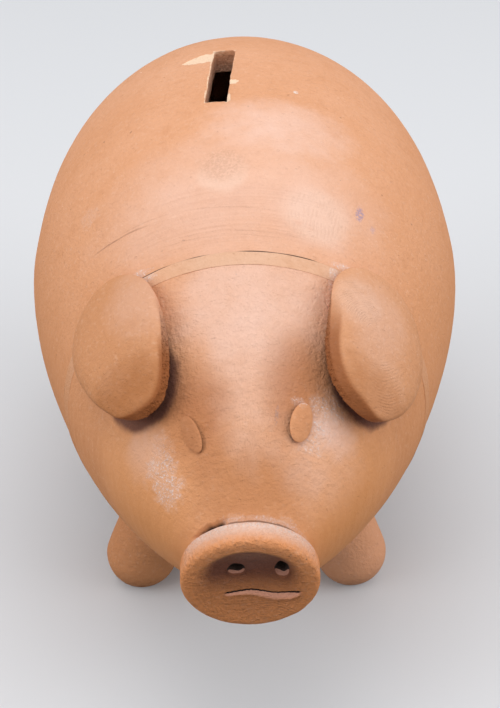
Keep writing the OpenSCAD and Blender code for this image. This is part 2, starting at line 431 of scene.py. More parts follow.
class Value:
    """An output in a node tree, whose numbers are written in Python's own arithmetic."""

    __add__ = __radd__ = arithmetic("ADD")
    __sub__ = arithmetic("SUBTRACT")
    __rsub__ = arithmetic("SUBTRACT", swapped=True)
    __mul__ = __rmul__ = arithmetic("MULTIPLY")
    __truediv__ = arithmetic("DIVIDE")
    __rtruediv__ = arithmetic("DIVIDE", swapped=True)
    __pow__ = arithmetic("POWER")
    most = arithmetic("MAXIMUM")

    def __init__(self, graph: Graph, socket: bpy.types.NodeSocket) -> None:
        """Wraps an output socket of a tree."""
        self.graph = graph
        self.socket = socket

    def __abs__(self) -> "Value":
        """Drops the sign."""
        return self.graph.math("ABSOLUTE", self)

    def sine(self) -> "Value":
        """Sine of an angle in radians."""
        return self.graph.math("SINE", self)

    def also(self, out: str) -> "Value":
        """Another output of the same node."""
        return Value(self.graph, self.socket.node.outputs[out])

    def ease(self, low: float, high: float) -> "Value":
        """Rises smoothly with the value.

        Args:
            low: Where the rise starts.
            high: Where it ends, or where a fall starts if it is the lesser.

        Returns:
            A number from 0 to 1.
        """
        if low > high:
            return 1.0 - self.ease(high, low)
        sockets = {"Value": self, "From Min": low, "From Max": high}
        return self.graph.add("ShaderNodeMapRange", sockets, interpolation_type="SMOOTHSTEP")


class FormTree(ABC):
    """A Geometry Nodes tree with named inputs, built once and used on many pieces."""

    name: str
    sizes: tuple[str, ...]
    counts: tuple[str, ...] = ()

    def __init__(self) -> None:
        """Makes the tree with its inputs and its output."""
        tree = bpy.data.node_groups.new(self.name, "GeometryNodeTree")
        kinds = {"geometry": "NodeSocketGeometry"} | dict.fromkeys(self.sizes, "NodeSocketFloat")
        kinds |= dict.fromkeys(self.counts, "NodeSocketInt") | {"clay": "NodeSocketMaterial"}
        self.keys: dict[str, str] = {}
        for label, kind in kinds.items():
            socket = tree.interface.new_socket(label, in_out="INPUT", socket_type=kind)
            self.keys[label] = socket.identifier
        tree.interface.new_socket("geometry", in_out="OUTPUT", socket_type="NodeSocketGeometry")
        self.graph = Graph(tree)
        entry = self.graph.node("NodeGroupInput")
        given = {label: Value(self.graph, entry.outputs[label]) for label in kinds}
        grown = self.graph.add("GeometryNodeRealizeInstances", {0: self.grow(given)})
        smooth = self.graph.add("GeometryNodeSetShadeSmooth", {0: grown})
        finished = self.graph.add("GeometryNodeSetMaterial", {0: smooth, "Material": given["clay"]})
        self.graph.node("NodeGroupOutput", {0: finished})

    @abstractmethod
    def grow(self, given: dict[str, Value]) -> Value:
        """Adds the tree's own nodes and gives the finished geometry."""

    def rough(self) -> Value:
        """How rough each point of the piece is."""
        return self.graph.add("GeometryNodeInputNamedAttribute", {"Name": "rough"}, "Attribute")

    def press(self, piece: bpy.types.Object, clay: bpy.types.Material, sizes: dict[str, Any]) -> None:
        """Runs the tree on a piece and keeps the result as its plain mesh.

        Args:
            piece: The piece to work on.
            clay: Material of the result.
            sizes: Values of the tree's other inputs, by name.
        """
        modifier = piece.modifiers.new(self.name, "NODES")
        modifier.node_group = self.graph.tree
        for label, given in (sizes | {"clay": clay}).items():
            modifier[self.keys[label]] = given
        settle(piece)


class ReliefTree(FormTree):
    """Gives a piece the lumps, turning ridges and torn edges of worked clay."""

    name = "worked relief"
    sizes = ("lump_height", "lump_size", "ridge_height", "ridge_pitch", "tear_height", "tear_size")
    least_size = 0.1

    def grow(self, given: dict[str, Value]) -> Value:
        """Sinks the surface by noise, by ridges along the pig and by tears where it is rough.

        Args:
            given: The tree's inputs.

        Returns:
            The sunk surface.
        """
        graph = self.graph
        point = graph.scaled(graph.add("GeometryNodeInputPosition"), 1 / MM)
        along = graph.add("ShaderNodeSeparateXYZ", {0: point}, "Y")
        lump, pitch, tear = (
            given[size].most(self.least_size) for size in ("lump_size", "ridge_pitch", "tear_size")
        )
        lumps = graph.noise(graph.scaled(point, 1.0 / lump), 1.0)
        ridges = ((along / pitch + 3.0 * lumps) * math.tau).sine() - 1.0
        tears = graph.noise(graph.scaled(point, 1.0 / tear), 1.0, 3.0, 0.65)
        sink = (lumps - 0.75) * given["lump_height"] * 2.0
        sink = sink + ridges * given["ridge_height"] * 0.5
        sink = sink + (tears - 0.7) * given["tear_height"] * 2.0 * self.rough()
        offset = graph.scaled(graph.add("GeometryNodeInputNormal", out="Normal"), sink * MM)
        return graph.add("GeometryNodeSetPosition", {"Geometry": given["geometry"], "Offset": offset})


class GrogTree(FormTree):
    """Scatters grains of grog over the rough parts of a piece."""

    name = "grog grains"
    sizes = ("grains_each_square", "grain_size")
    counts = ("seed",)
    least_scale = (0.4, 0.4, 0.4)
    most_scale = (1.3, 1.3, 1.0)

    def grow(self, given: dict[str, Value]) -> Value:
        """Sets angular grains on the surface, half sunk, and joins them to it.

        Args:
            given: The tree's inputs.

        Returns:
            The surface with its grains.
        """
        graph = self.graph
        density = given["grains_each_square"] * (1 / MM**2) * self.rough().ease(0.3, 0.9)
        where = {"Mesh": given["geometry"], "Density": density, "Seed": given["seed"]}
        places = graph.add("GeometryNodeDistributePointsOnFaces", where, "Points")
        ball = {"Radius": given["grain_size"] * (MM / 2), "Subdivisions": 1}
        spread = {0: self.least_scale, 1: self.most_scale}
        grains = graph.add(
            "GeometryNodeInstanceOnPoints",
            {
                "Points": places,
                "Instance": graph.add("GeometryNodeMeshIcoSphere", ball, "Mesh"),
                "Rotation": places.also("Rotation"),
                "Scale": graph.add("FunctionNodeRandomValue", spread, data_type="FLOAT_VECTOR"),
            },
        )
        both = graph.add("GeometryNodeJoinGeometry", {0: given["geometry"]})
        graph.tree.links.new(grains.socket, both.socket.node.inputs[0])
        return both


class RollTree(FormTree):
    """Rolls a tapered sausage of clay into a flat curl."""

    name = "curled roll"
    sizes = ("curl_radius", "inner_radius", "turns", "rise", "root_diameter", "tip_diameter")
    steps = 120
    ring_points = 48
    tip_start = 0.93

    def grow(self, given: dict[str, Value]) -> Value:
        """Sweeps a circle along a spiral, thinner towards the tip and rounded off at it.

        Args:
            given: The tree's inputs.

        Returns:
            The curled roll.
        """
        graph = self.graph
        spiral = {
            "Resolution": self.steps,
            "Rotations": given["turns"],
            "Start Radius": given["curl_radius"] * MM,
            "End Radius": given["inner_radius"] * MM,
            "Height": given["rise"] * MM,
        }
        share = graph.add("GeometryNodeSplineParameter", out="Factor")
        root, tip = given["root_diameter"], given["tip_diameter"]
        tip_round = (1.0 - share.ease(self.tip_start, 1.0) ** 2.0).most(0.0001) ** 0.5
        ring = {"Resolution": self.ring_points, "Radius": 1.0}
        sweep = {
            "Curve": graph.add("GeometryNodeCurveSpiral", spiral),
            "Profile Curve": graph.add("GeometryNodeCurvePrimitiveCircle", ring),
            "Scale": (root + (tip - root) * share) * (MM / 2) * tip_round,
            "Fill Caps": True,
        }
        return graph.add("GeometryNodeCurveToMesh", sweep)


@dataclass(frozen=True)
class Relief:
    """How uneven the clay of one piece is, as inputs of the relief tree."""

    lump_height: float = 0.12
    lump_size: float = 14.0
    ridge_height: float = 0.0
    ridge_pitch: float = 2.4
    tear_height: float = 0.0
    tear_size: float = 0.9


class ClayShader:
    """Colour, gloss and fine relief of one clay, laid out along and round the pig."""

    gloss = 0.25

    def __init__(self, name: str, form: PigForm) -> None:
        """Starts a material with the pig's own coordinates, in millimetres.

        Args:
            name: Name of the material.
            form: The form that gives the seam's place and the axis.
        """
        self.form = form
        self.material = bpy.data.materials.new(name)
        self.graph = Graph.cleared(self.material)
        self.point = self.graph.scaled(self.graph.add("ShaderNodeTexCoord", out="Object"), 1 / MM)
        x = self.graph.add("ShaderNodeSeparateXYZ", {0: self.point}, "X")
        self.along = x.also("Y") - form.seam_y
        self.up = x.also("Z") - form.axis_h
        self.angle = self.graph.math("ARCTAN2", x, self.up)
        self.colour: Any = (0.0, 0.0, 0.0)
        self.height: Any = 0.0
        self.roughness: Any = 0.8

    def noise(self, size: float, detail: float = 2.0, roughness: float = 0.5) -> Value:
        """Even noise over the piece."""
        return self.graph.noise(self.point, size, detail, roughness)

    def drawn(self, along: float, around: float, detail: float = 2.0, seed: float = 0.0) -> Value:
        """Noise drawn out along or round the pig.

        Args:
            along: Size of the noise along the pig.
            around: Size of the noise round the pig.
            detail: How many finer layers it has.
            seed: Moves the noise to another part of its field.

        Returns:
            Noise about 0.5.
        """
        round_way = self.angle * (self.form.belly_r / around)
        where = self.graph.add("ShaderNodeCombineXYZ", {0: self.along / along, 1: round_way, 2: seed})
        return self.graph.noise(where, 1.0, detail)

    def spot(
        self, along: float, angle: float, length: float, width: float, ragged: float, soft: float = 0.0
    ) -> Value:
        """A round patch on the pig's skin with a ragged edge.

        Args:
            along: Its middle along the pig.
            angle: Its middle round the axis, in degrees.
            length: Half its size along the pig.
            width: Half its size round the pig.
            ragged: How far its edge wanders, as a share of its size.
            soft: How far its edge fades outwards, as a share of its size.

        Returns:
            1 in the middle, 0 outside.
        """
        here = (self.along - along) / length
        aside = (self.angle - math.radians(angle)) * (self.form.skin_radius(along) / width)
        wander = (self.noise(0.4 * min(length, width)) - 0.5) * (2 * ragged)
        return (here * here + aside * aside + wander).ease(1.0 + soft, 0.1 - soft)

    def distance(self, x: float, along: float, up: float) -> Value:
        """Distance from a point, in millimetres."""
        sockets = {0: self.point, 1: (x, along + self.form.seam_y, up + self.form.axis_h)}
        return self.graph.add("ShaderNodeVectorMath", sockets, "Value", operation="DISTANCE")

    def kept(self, name: str) -> Value:
        """A number that the piece's mesh keeps for each of its points."""
        return self.graph.add("ShaderNodeAttribute", None, "Fac", attribute_name=name)

    def tint(self, colour: Colour, amount: Value) -> None:
        """Lays a colour over what is there."""
        self.colour = self.graph.blend(self.colour, colour, amount)

    def raise_by(self, height: Value) -> None:
        """Adds to the fine relief, in millimetres."""
        self.height = height + self.height

    def finish(self) -> bpy.types.Material:
        """Joins colour, gloss and relief into the material.

        Returns:
            The material.
        """
        relief = {"Strength": 1.0, "Distance": MM, "Height": self.height}
        looks = {
            "Base Color": self.colour,
            "Roughness": self.roughness,
            "Normal": self.graph.add("ShaderNodeBump", relief),
            "Specular IOR Level": self.gloss,
        }
        clay = self.graph.add("ShaderNodeBsdfPrincipled", looks)
        self.graph.node("ShaderNodeOutputMaterial", {"Surface": clay})
        return self.material


class Mark(ABC):
    """Something that handling or the weather left on the clay."""

    @abstractmethod
    def lay(self, shader: ClayShader) -> None:
        """Adds the mark to a clay's colour and relief."""


@dataclass(frozen=True)
class Patch(Mark):
    """A mark that fills a patch of the skin, with its middle and half its size each way."""

    along: float
    angle: float
    length: float
    width: float

    def spot(self, shader: ClayShader, ragged: float, soft: float = 0.0) -> Value:
        """The patch, whose edge wanders and fades by shares of its size."""
        return shader.spot(self.along, self.angle, self.length, self.width, ragged, soft)


@dataclass(frozen=True)
class FilmAndPaintedLight(Patch):
    """A patch of another shade: a film where the skin is rubbed, dusty or damp, and also painted light and
    painted shade.
    """

    strength: float
    colour: Colour = (0.93, 0.65, 0.55)
    ragged: float = 0.45
    soft: float = 0.5

    def lay(self, shader: ClayShader) -> None:
        """Tints the patch."""
        shader.tint(self.colour, self.spot(shader, self.ragged, self.soft) * self.strength)


@dataclass(frozen=True)
class SaltBloom(Patch):
    """White salt that has crept out of the clay in crumbs."""

    strength: float
    colour: Colour = (0.86, 0.76, 0.74)
    crumb: float = 0.5
    height: float = 0.04

    def lay(self, shader: ClayShader) -> None:
        """Scatters white crumbs over the patch.

        Args:
            shader: The clay that takes the mark.
        """
        patch = self.spot(shader, 1.0)
        crumbs = shader.noise(self.crumb, 3.0, 0.75).ease(0.48, 0.72)
        shader.tint(self.colour, patch * (crumbs * 0.6 + 0.12) * self.strength)
        shader.raise_by(patch * crumbs * self.height)


@dataclass(frozen=True)
class Smudge(Patch):
    """A small coloured smear, such as a trace of crayon or a lime grain."""

    colour: Colour
    strength: float = 0.8

    def lay(self, shader: ClayShader) -> None:
        """Rubs a colour over the high grains of the patch."""
        grains = shader.noise(0.7).ease(0.32, 0.5)
        shader.tint(self.colour, self.spot(shader, 0.9) * grains * self.strength)


@dataclass(frozen=True)
class Scrapes(Patch):
    """Torn streaks where a dry tool dragged grains through the surface."""

    streak_along: float
    streak_around: float
    depth: float

    def lay(self, shader: ClayShader) -> None:
        """Tears drawn-out pits into the patch."""
        streaks = shader.drawn(self.streak_along, self.streak_around, 3.0, self.along).ease(0.38, 0.66)
        shader.raise_by(streaks * self.spot(shader, 0.6, 0.5) * self.depth)


@dataclass(frozen=True)
class RingZone(Patch):
    """A belt of fine rings that a wet finger left while the clay turned."""

    depth: float
    pitch: float = 0.55
    stretch: float = 60.0
    colour: Colour = (0.60, 0.30, 0.19)
    strength: float = 0.22

    def lay(self, shader: ClayShader) -> None:
        """Draws close rings round the axis, faint in colour.

        Args:
            shader: The clay that takes the mark.
        """
        zone = self.spot(shader, 0.4)
        rings = shader.drawn(self.pitch, self.stretch, 2.0, self.along).ease(0.3, 0.7)
        shader.raise_by(rings * zone * self.depth)
        shader.tint(self.colour, (1.0 - rings) * zone * self.strength)


@dataclass(frozen=True)
class TurnedLine(Mark):
    """A fine line that a tool or a finger left while the clay turned."""

    along: float
    drift: float
    begin: float
    end: float
    width: float = 0.2
    depth: float = 0.06
    dark: float = 0.1
    fade: float = 12.0
    colour: Colour = (0.34, 0.15, 0.09)

    def lay(self, shader: ClayShader) -> None:
        """Cuts a thin groove between two angles and darkens it.

        Args:
            shader: The clay that takes the mark.
        """
        wander = shader.drawn(30.0, 9.0, 2.0, self.along) - 0.5
        away = abs(shader.along - self.along - shader.angle * self.drift - wander * 0.9)
        degrees = shader.angle * math.degrees(1)
        window = degrees.ease(self.begin, self.begin + self.fade)
        window = window * degrees.ease(self.end, self.end - self.fade)
        broken = shader.drawn(6.0, 9.0, 3.0, self.along + 7.0).ease(0.30, 0.62)
        groove = away.ease(self.width, 0.3 * self.width) * window * broken
        shader.raise_by(groove * -self.depth)
        shader.tint(self.colour, groove * self.dark)


@dataclass(frozen=True)
class FingerDab(Mark):
    """The round print of a fingertip pressed into the soft clay."""

    along: float
    angle: float
    reach: float
    depth: float = 0.08
    grain_height: float = 0.06
    dark: Colour = (0.55, 0.29, 0.17)
    pale: Colour = (0.95, 0.69, 0.55)

    def lay(self, shader: ClayShader) -> None:
        """Sinks a round patch a little, with the skin's grain in it and a pale edge below.

        Args:
            shader: The clay that takes the mark.
        """
        places = (self.along, self.along - 0.35 * self.reach)
        patch, low = (shader.spot(along, self.angle, self.reach, self.reach, 0.25) for along in places)
        grain = shader.noise(0.55, 2.0, 0.6).ease(0.4, 0.62)
        shader.raise_by(patch * (grain * self.grain_height - self.depth))
        shader.tint(self.dark, patch * (1.0 - grain) * 0.34)
        shader.tint(self.pale, low * (1.0 - patch * 0.8) * 0.45)


@dataclass(frozen=True)
class FingerSweep(Mark):
    """Curved ridges that a dragged fingertip left."""

    pivot: Place
    middle: Place
    reach: float
    pitch: float
    depth: float
    pale: float
    dark: float
    pale_colour: Colour = (0.92, 0.66, 0.53)
    dark_colour: Colour = (0.50, 0.24, 0.14)

    def lay(self, shader: ClayShader) -> None:
        """Runs ridges round a pivot within a soft patch.

        Args:
            shader: The clay that takes the mark.
        """
        near = shader.distance(*self.middle).ease(self.reach, 0.5 * self.reach)
        patch = near * shader.noise(3.0).ease(0.15, 0.5)
        turns = shader.distance(*self.pivot) / self.pitch + (shader.noise(8.0) - 0.5) * 3.6
        ridges = (turns * math.tau).sine() * shader.noise(2.6).ease(0.34, 0.62)
        shader.raise_by(ridges * patch * self.depth)
        shader.tint(self.pale_colour, patch * self.pale)
        # Painted shade in the troughs between the ridges.
        shader.tint(self.dark_colour, patch * (ridges * -1.0).ease(0.0, 0.8) * self.dark)


@dataclass(frozen=True)
class ClayFinish:
    """One finish of the same terracotta."""

    name: str
    slot: str
    orange: Colour = (0.70, 0.30, 0.125)
    pale: Colour = (0.86, 0.47, 0.295)
    grain_depth: float = 0.085
    brush_depth: float = 0.04
    side_grain: float = 1.0
    marks: tuple[Mark, ...] = ()
    iron: Colour = (0.58, 0.24, 0.10)
    dust: Colour = (0.88, 0.56, 0.40)
    speck: Colour = (0.30, 0.13, 0.07)
    # Painted shade in the low parts of the coarse grain.
    hollow: Colour = (0.50, 0.21, 0.10)
    torn: Colour = (0.34, 0.14, 0.06)
    inside: Colour = (0.70, 0.46, 0.335)
    # Partly darker clay and partly painted shade in the snout's dish.
    dished: Colour = (0.135, 0.04, 0.024)
    # Partly paler cut clay and partly painted light on the lip's cut and below the nostrils.
    cut: Colour = (0.92, 0.45, 0.32)
    # Partly darker rough clay and partly painted shade on the ears' cut walls.
    raw_and_shade: Colour = (0.275, 0.075, 0.015)
    salt: Colour = (0.84, 0.74, 0.71)
    bare: Colour = (0.93, 0.67, 0.47)
    # Dark seams, and painted shade in the head's notch, the nostrils, the mouth's slit and under the pads'
    # edges.
    crack_and_shade: Colour = (0.035, 0.018, 0.012)

    def material(self, form: PigForm) -> bpy.types.Material:
        """Makes the finish's material.

        Args:
            form: The form that the finish is laid out on.

        Returns:
            The material.
        """
        shader = ClayShader(self.name, form)
        cloud = shader.noise(22.0, 3.0)
        mottle = shader.noise(4.5, 3.0, 0.6)
        # Paler towards the top: partly a pale bloom of the clay and partly painted sheen from above.
        bloom_and_sheen = (shader.up / form.belly_r).ease(-0.2, 1.0)
        shader.colour = shader.graph.blend(self.orange, self.pale, bloom_and_sheen * (cloud * 0.7 + 0.15))
        self.lay_skin(shader, mottle)
        for mark in self.marks:
            mark.lay(shader)
        self.lay_handwork(shader, cloud)
        shader.roughness = 0.62 + 0.28 * mottle
        return shader.finish()

    def lay_skin(self, shader: ClayShader, mottle: Value) -> None:
        """Adds the clay's grain, brush lines, pits and tears.

        Args:
            shader: The clay.
            mottle: Noise of the clay's patches.
        """
        shader.tint(self.iron, mottle.ease(0.50, 0.78) * 0.22)
        shader.tint(self.dust, shader.noise(0.9).ease(0.52, 0.80) * 0.25)
        shader.tint(self.speck, shader.noise(1.7, 1.0).ease(0.775, 0.81) * 0.5)
        grain = shader.noise(0.42, 3.0, 0.65)
        coarse = shader.noise(1.15, 2.0, 0.6)
        worked = shader.up.ease(0.0, 22.0) * (1.0 - self.side_grain) + self.side_grain
        shader.raise_by((grain - 0.5) * worked * self.grain_depth * 2.0)
        shader.raise_by((coarse - 0.5) * worked * self.grain_depth * 3.5)
        # Painted shade in the low parts of the coarse grain.
        shader.tint(self.hollow, coarse.ease(0.5, 0.28) * worked * 0.16)
        shader.raise_by((shader.drawn(0.8, 14.0, 3.0) - 0.5) * self.brush_depth * 2.0)
        shader.raise_by(shader.noise(1.3).ease(0.30, 0.24) * -0.1)
        rough = shader.kept("rough")
        torn = shader.noise(0.6, 3.0, 0.7)
        shader.raise_by((torn - 0.5) * rough * 0.5)
        shader.tint(self.torn, rough * (1.0 - torn.ease(0.35, 0.8) * 0.7))
        shader.tint(self.inside, shader.kept("inside") * (0.55 + 0.35 * mottle))

    def lay_handwork(self, shader: ClayShader, cloud: Value) -> None:
        """Adds the shades of cut, salted, chipped and parted clay, with painted shade in the dish, the
        holes, the slit, on the ears' cut walls and under the pads, and painted light on the cut lip.

        Args:
            shader: The clay.
            cloud: Noise of the clay's widest patches.
        """
        # Partly darker clay and partly painted shade in the snout's dish, darker towards its upper part.
        dished = shader.kept("dished") * (shader.up.ease(-7.0, 0.0) * 0.88 + 0.12)
        dished = dished * (1.0 - shader.up.ease(2.0, 7.0) * 0.3)
        shader.tint(self.dished, dished * (0.86 + 0.12 * cloud))
        # Partly paler cut clay and partly painted light on the lip's cut and below the nostrils.
        shader.tint(self.cut, shader.kept("cut") * 0.75)
        # Partly darker rough clay and partly painted shade on the ears' cut walls.
        shader.tint(self.raw_and_shade, shader.kept("raw_and_shade") * 0.82)
        crumbs = shader.noise(0.45, 3.0, 0.7).ease(0.35, 0.65)
        shader.tint(self.salt, shader.kept("salt") * (crumbs * 0.6 + 0.2))
        shader.tint(self.bare, (shader.kept("bare") + (shader.noise(0.9) - 0.5) * 0.35).ease(0.3, 0.6))
        # Dark seams, and painted shade in the notch, the nostrils, the slit and under the pads' edges.
        shader.tint(self.crack_and_shade, shader.kept("crack_and_shade").ease(0.2, 0.8))


@dataclass
class ClayPiece(ABC):
    """One piece of clay, which stands for one solid of the frame."""

    form: PigForm
    node: str
    finish: ClayFinish
    relief: Relief

    @abstractmethod
    def shape(self) -> bpy.types.Mesh:
        """Makes the piece's mesh, with the numbers that its finish reads."""

    def dress(self, piece: bpy.types.Object, clay: bpy.types.Material, relief_tree: ReliefTree) -> None:
        """Gives the piece its worked surface and its clay."""
        relief_tree.press(piece, clay, asdict(self.relief))

    def build(self, relief_tree: ReliefTree) -> bpy.types.Object:
        """Makes the piece and sets it on the frame.

        Args:
            relief_tree: The tree that makes the worked surface.

        Returns:
            The finished piece.
        """
        piece = new_object(f"{self.node}_clay", self.shape())
        self.dress(piece, self.finish.material(self.form), relief_tree)
        piece.data.set_sharp_from_angle(angle=SHARP_ANGLE)
        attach(piece, "root")
        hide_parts(self.node)
        LOG.info("%s: %d faces of %s", piece.name, len(piece.data.polygons), self.finish.name)
        return piece


@dataclass(frozen=True)
class CoinSlot:
    """The slot in the back, in a frame of its own across and along it."""

    width: float = 4.8
    length: float = 30.5
    back: float = 61.0
    off: float = 5.2
    skew: float = math.radians(3.8)
    lip: float = 0.3
    waver: float = 0.05
    corner: float = 0.6
    side_steps: int = 24
    corner_steps: int = 7
    levels: int = 12

    def local(self, x: Array, along: Array) -> tuple[Array, Array]:
        """Places on the back, across and along the slot from its middle."""
        return rotated(x + self.off, along - self.back, self.skew)

    def outside(self, x: Array, along: Array) -> Array:
        """Measures how far places lie outside the slot's edge.

        Args:
            x: Places across the pig.
            along: Places along the pig.

        Returns:
            Distances, negative within the slot.
        """
        across, lengthwise = self.local(x, along)
        past_side = np.abs(across) - self.width / 2
        past_end = np.abs(lengthwise) - self.length / 2
        beyond = np.hypot(np.maximum(past_side, 0), np.maximum(past_end, 0))
        return beyond + np.minimum(np.maximum(past_side, past_end), 0)

    def outline(self) -> Array:
        """Draws the slot's edge in its own frame, with sides cut by hand.

        Returns:
            Points across and along the slot.
        """
        half_w, half_l = self.width / 2, self.length / 2 - self.corner
        turn = np.linspace(0, QUARTER, self.corner_steps)
        side = np.linspace(-half_l, half_l, self.side_steps)
        waver = self.waver * np.sin(side * 0.62) + 0.5 * self.waver * np.sin(side * 1.7 + 1)
        quarter = self.corner * joined(np.cos(turn), np.sin(turn))
        core = half_w - self.corner
        right_end = quarter + [core, half_l]
        left_end = quarter[::-1] * [-1, 1] + [-core, half_l]
        right_side = joined(half_w + waver, side)
        left_side = joined(-half_w + waver, side)[::-1]
        low_ends = (left_end[::-1] * [1, -1], right_end[::-1] * [1, -1])
        return np.concatenate([right_side, right_end, left_end, left_side, *low_ends])

    def cutter(self, form: PigForm) -> bpy.types.Mesh:
        """Makes a prism through the back.

        Args:
            form: The form that the slot is cut into.

        Returns:
            The prism's mesh.
        """
        flat = joined(*rotated(*self.outline().T, -self.skew)) + [-self.off, form.seam_y + self.back]
        levels = form.axis_h + form.belly_r * np.linspace(0.5, 1.3, self.levels)
        rings = joined(flat[None, :, 0], flat[None, :, 1], levels[:, None])
        middle = flat.mean(axis=0)
        ends = (np.append(middle, levels[0]), np.append(middle, levels[-1]))
        return RingSurface(rings, ends).mesh("slot_cutter")


@dataclass(frozen=True)
class Chip:
    """A flake broken off the slot's edge, which bares paler clay."""

    across: float
    lengthwise: float
    reach_across: float
    reach_lengthwise: float
    turn: float = 0.0
    depth: float = 0.3

    def share(self, across: Array, lengthwise: Array) -> Array:
        """Tells where the flake is.

        Args:
            across: Places across the slot.
            lengthwise: Places along the slot.

        Returns:
            1 in the flake's middle, 0 outside it.
        """
        aside, ahead = across - self.across, lengthwise - self.lengthwise
        here, there = rotated(aside, ahead, -self.turn)
        here, there = here / self.reach_across, there / self.reach_lengthwise
        wedge = 1 + 0.55 * np.clip(here, -1, 1)
        ragged = 0.22 * np.sin(3.1 * aside + 1) * np.sin(4.3 * ahead)
        return ease(here**2 + (there / wedge) ** 2 + ragged, 1.08, 0.86)


@dataclass
class ThrownBody(ClayPiece):
    """The hollow body with its coin slot."""

    slot: CoinSlot = CoinSlot()
    chips: tuple[Chip, ...] = (
        Chip(-5.7, 10.4, 4.3, 2.7, math.radians(14)),
        Chip(2.9, -5.6, 1.3, 1.0, 0.0, 0.2),
        Chip(2.2, -13.6, 0.9, 1.8, 0.0, 0.5),
    )
    columns: int = 300
    crowding: float = 0.55
    outer_step: float = 0.95
    inner_step: float = 4.0
    rim_round: float = 0.15
    slot_margin: float = 4.0
    slot_crowd: float = 2.2
    rim_reach: float = 1.2
    rim_crowd: float = 5.0

    def outer_profile(self) -> Array:
        """Draws the outer wall, from the neck to the end of the rump.

        Returns:
            Radii and places behind the seam.
        """
        form = self.form
        turn = np.linspace(0, QUARTER, 1500)
        shoulder = np.linspace(0, form.belly_back, 600, endpoint=False)
        rump = form.belly_back + form.rump_len * np.sin(turn) ** (2 / form.rump_square)
        rump_r = form.belly_r * np.cos(turn) ** (2 / form.rump_square)
        along = np.concatenate([shoulder, rump])
        near_slot = np.abs(along - self.slot.back) < self.slot.length / 2 + self.slot_margin
        crowd = np.where(near_slot, self.slot_crowd, np.where(along < self.rim_reach, self.rim_crowd, 1.0))
        radius = np.concatenate([form.body_radius(shoulder), rump_r])
        profile = respace(joined(radius, along), self.outer_step, crowd)
        profile[:, 0] -= fillet(profile[:, 1], self.rim_round)
        return profile[:-1]

    def inner_profile(self) -> Array:
        """Draws the inner wall, from the end of the rump to the neck.

        Returns:
            Radii and places behind the seam.
        """
        form = self.form
        turn = np.linspace(QUARTER, 0, 800)
        shoulder = np.linspace(form.belly_back, 0, 400)[1:]
        rump = form.belly_back + (form.rump_len - form.wall) * np.sin(turn) ** (2 / form.rump_square)
        rump_r = (form.belly_r - form.wall) * np.cos(turn) ** (2 / form.rump_square)
        radius = np.concatenate([rump_r, form.body_radius(shoulder) - form.wall])
        return respace(joined(radius, np.concatenate([rump, shoulder])), self.inner_step)[1:]

    def wear(self, points: Array) -> tuple[Array, Array]:
        """Depth of wear at the slot, and how bare the clay is there.

        Args:
            points: Points on the outer wall.

        Returns:
            Depths in millimetres, and shares from 0 to 1.
        """
        x, along = points[..., 0], self.form.along_of(points)
        on_top = points[..., 2] > self.form.axis_h
        across, lengthwise = self.slot.local(x, along)
        outside = self.slot.outside(x, along)
        depth = fillet(outside, self.slot.lip)
        bare = np.where(across < 0, 0.5, 0.36) * ease(outside, 0.75, 0.3)
        for chip in self.chips:
            share = chip.share(across, lengthwise)
            depth = np.maximum(depth, share * chip.depth)
            bare = np.maximum(bare, share)
        return depth * on_top, bare * on_top

    def cut_through(self, blank: bpy.types.Mesh) -> bpy.types.Mesh:
        """Cuts the slot through the wall.

        Args:
            blank: The body without its slot.

        Returns:
            The body with its slot.
        """
        body = new_object("slot_blank", blank)
        cutter = new_object("slot_cutter", self.slot.cutter(self.form))
        cut = body.modifiers.new("slot", "BOOLEAN")
        cut.operation, cut.solver, cut.object = "DIFFERENCE", "MANIFOLD", cutter
        settle(body)
        made = body.data
        for spent in (body, cutter):
            bpy.data.objects.remove(spent)
        return made

    def shape(self) -> bpy.types.Mesh:
        """Revolves the wall, wears the slot's edge and cuts the slot through it.

        Returns:
            The body's mesh.
        """
        form = self.form
        angles = crowded_angles(self.columns, self.crowding)
        outer, inner = self.outer_profile(), self.inner_profile()
        skin = form.place(outer[:, 1, None], angles, outer[:, 0, None])
        worn, _ = self.wear(skin)
        skin = form.place(outer[:, 1, None], angles, outer[:, 0, None] - worn)
        hollow = form.place(inner[:, 1, None], angles, inner[:, 0, None])
        end = form.belly_back + form.rump_len
        poles = (form.place(end - form.wall, 0.0, 0.0), form.place(end, 0.0, 0.0))
        made = self.cut_through(RingSurface(np.concatenate([hollow, skin]), poles).mesh(self.node))
        points = points_of(made)
        along = form.along_of(points)
        sunk = form.body_radius(along) - form.off_axis(points)
        at_slot = self.slot.outside(points[:, 0], along) < 0.3
        store(made, "inside", ease(sunk, 1.0, 2.0))
        store(made, "bare", self.wear(points)[1] * (1 - ease(sunk, 0.7, 1.4)))
        store(made, "rough", 0.5 * at_slot * ease(sunk, 0.6, 1.2))
        turned = np.arctan2(points[:, 0], points[:, 2] - form.axis_h)
        uneven = np.clip(0.66 + 0.35 * np.sin(9 * turned) + 0.3 * np.sin(23 * turned + 1), 0.25, 1)
        line = ease(along, 0.65, 0.25) * uneven * (0.6 + 0.4 * np.cos(turned))
        at_rim = (along < 0.05) & (sunk > 0.12)
        store(made, "crack_and_shade", np.maximum(line * (sunk < 1), at_rim))
        return made


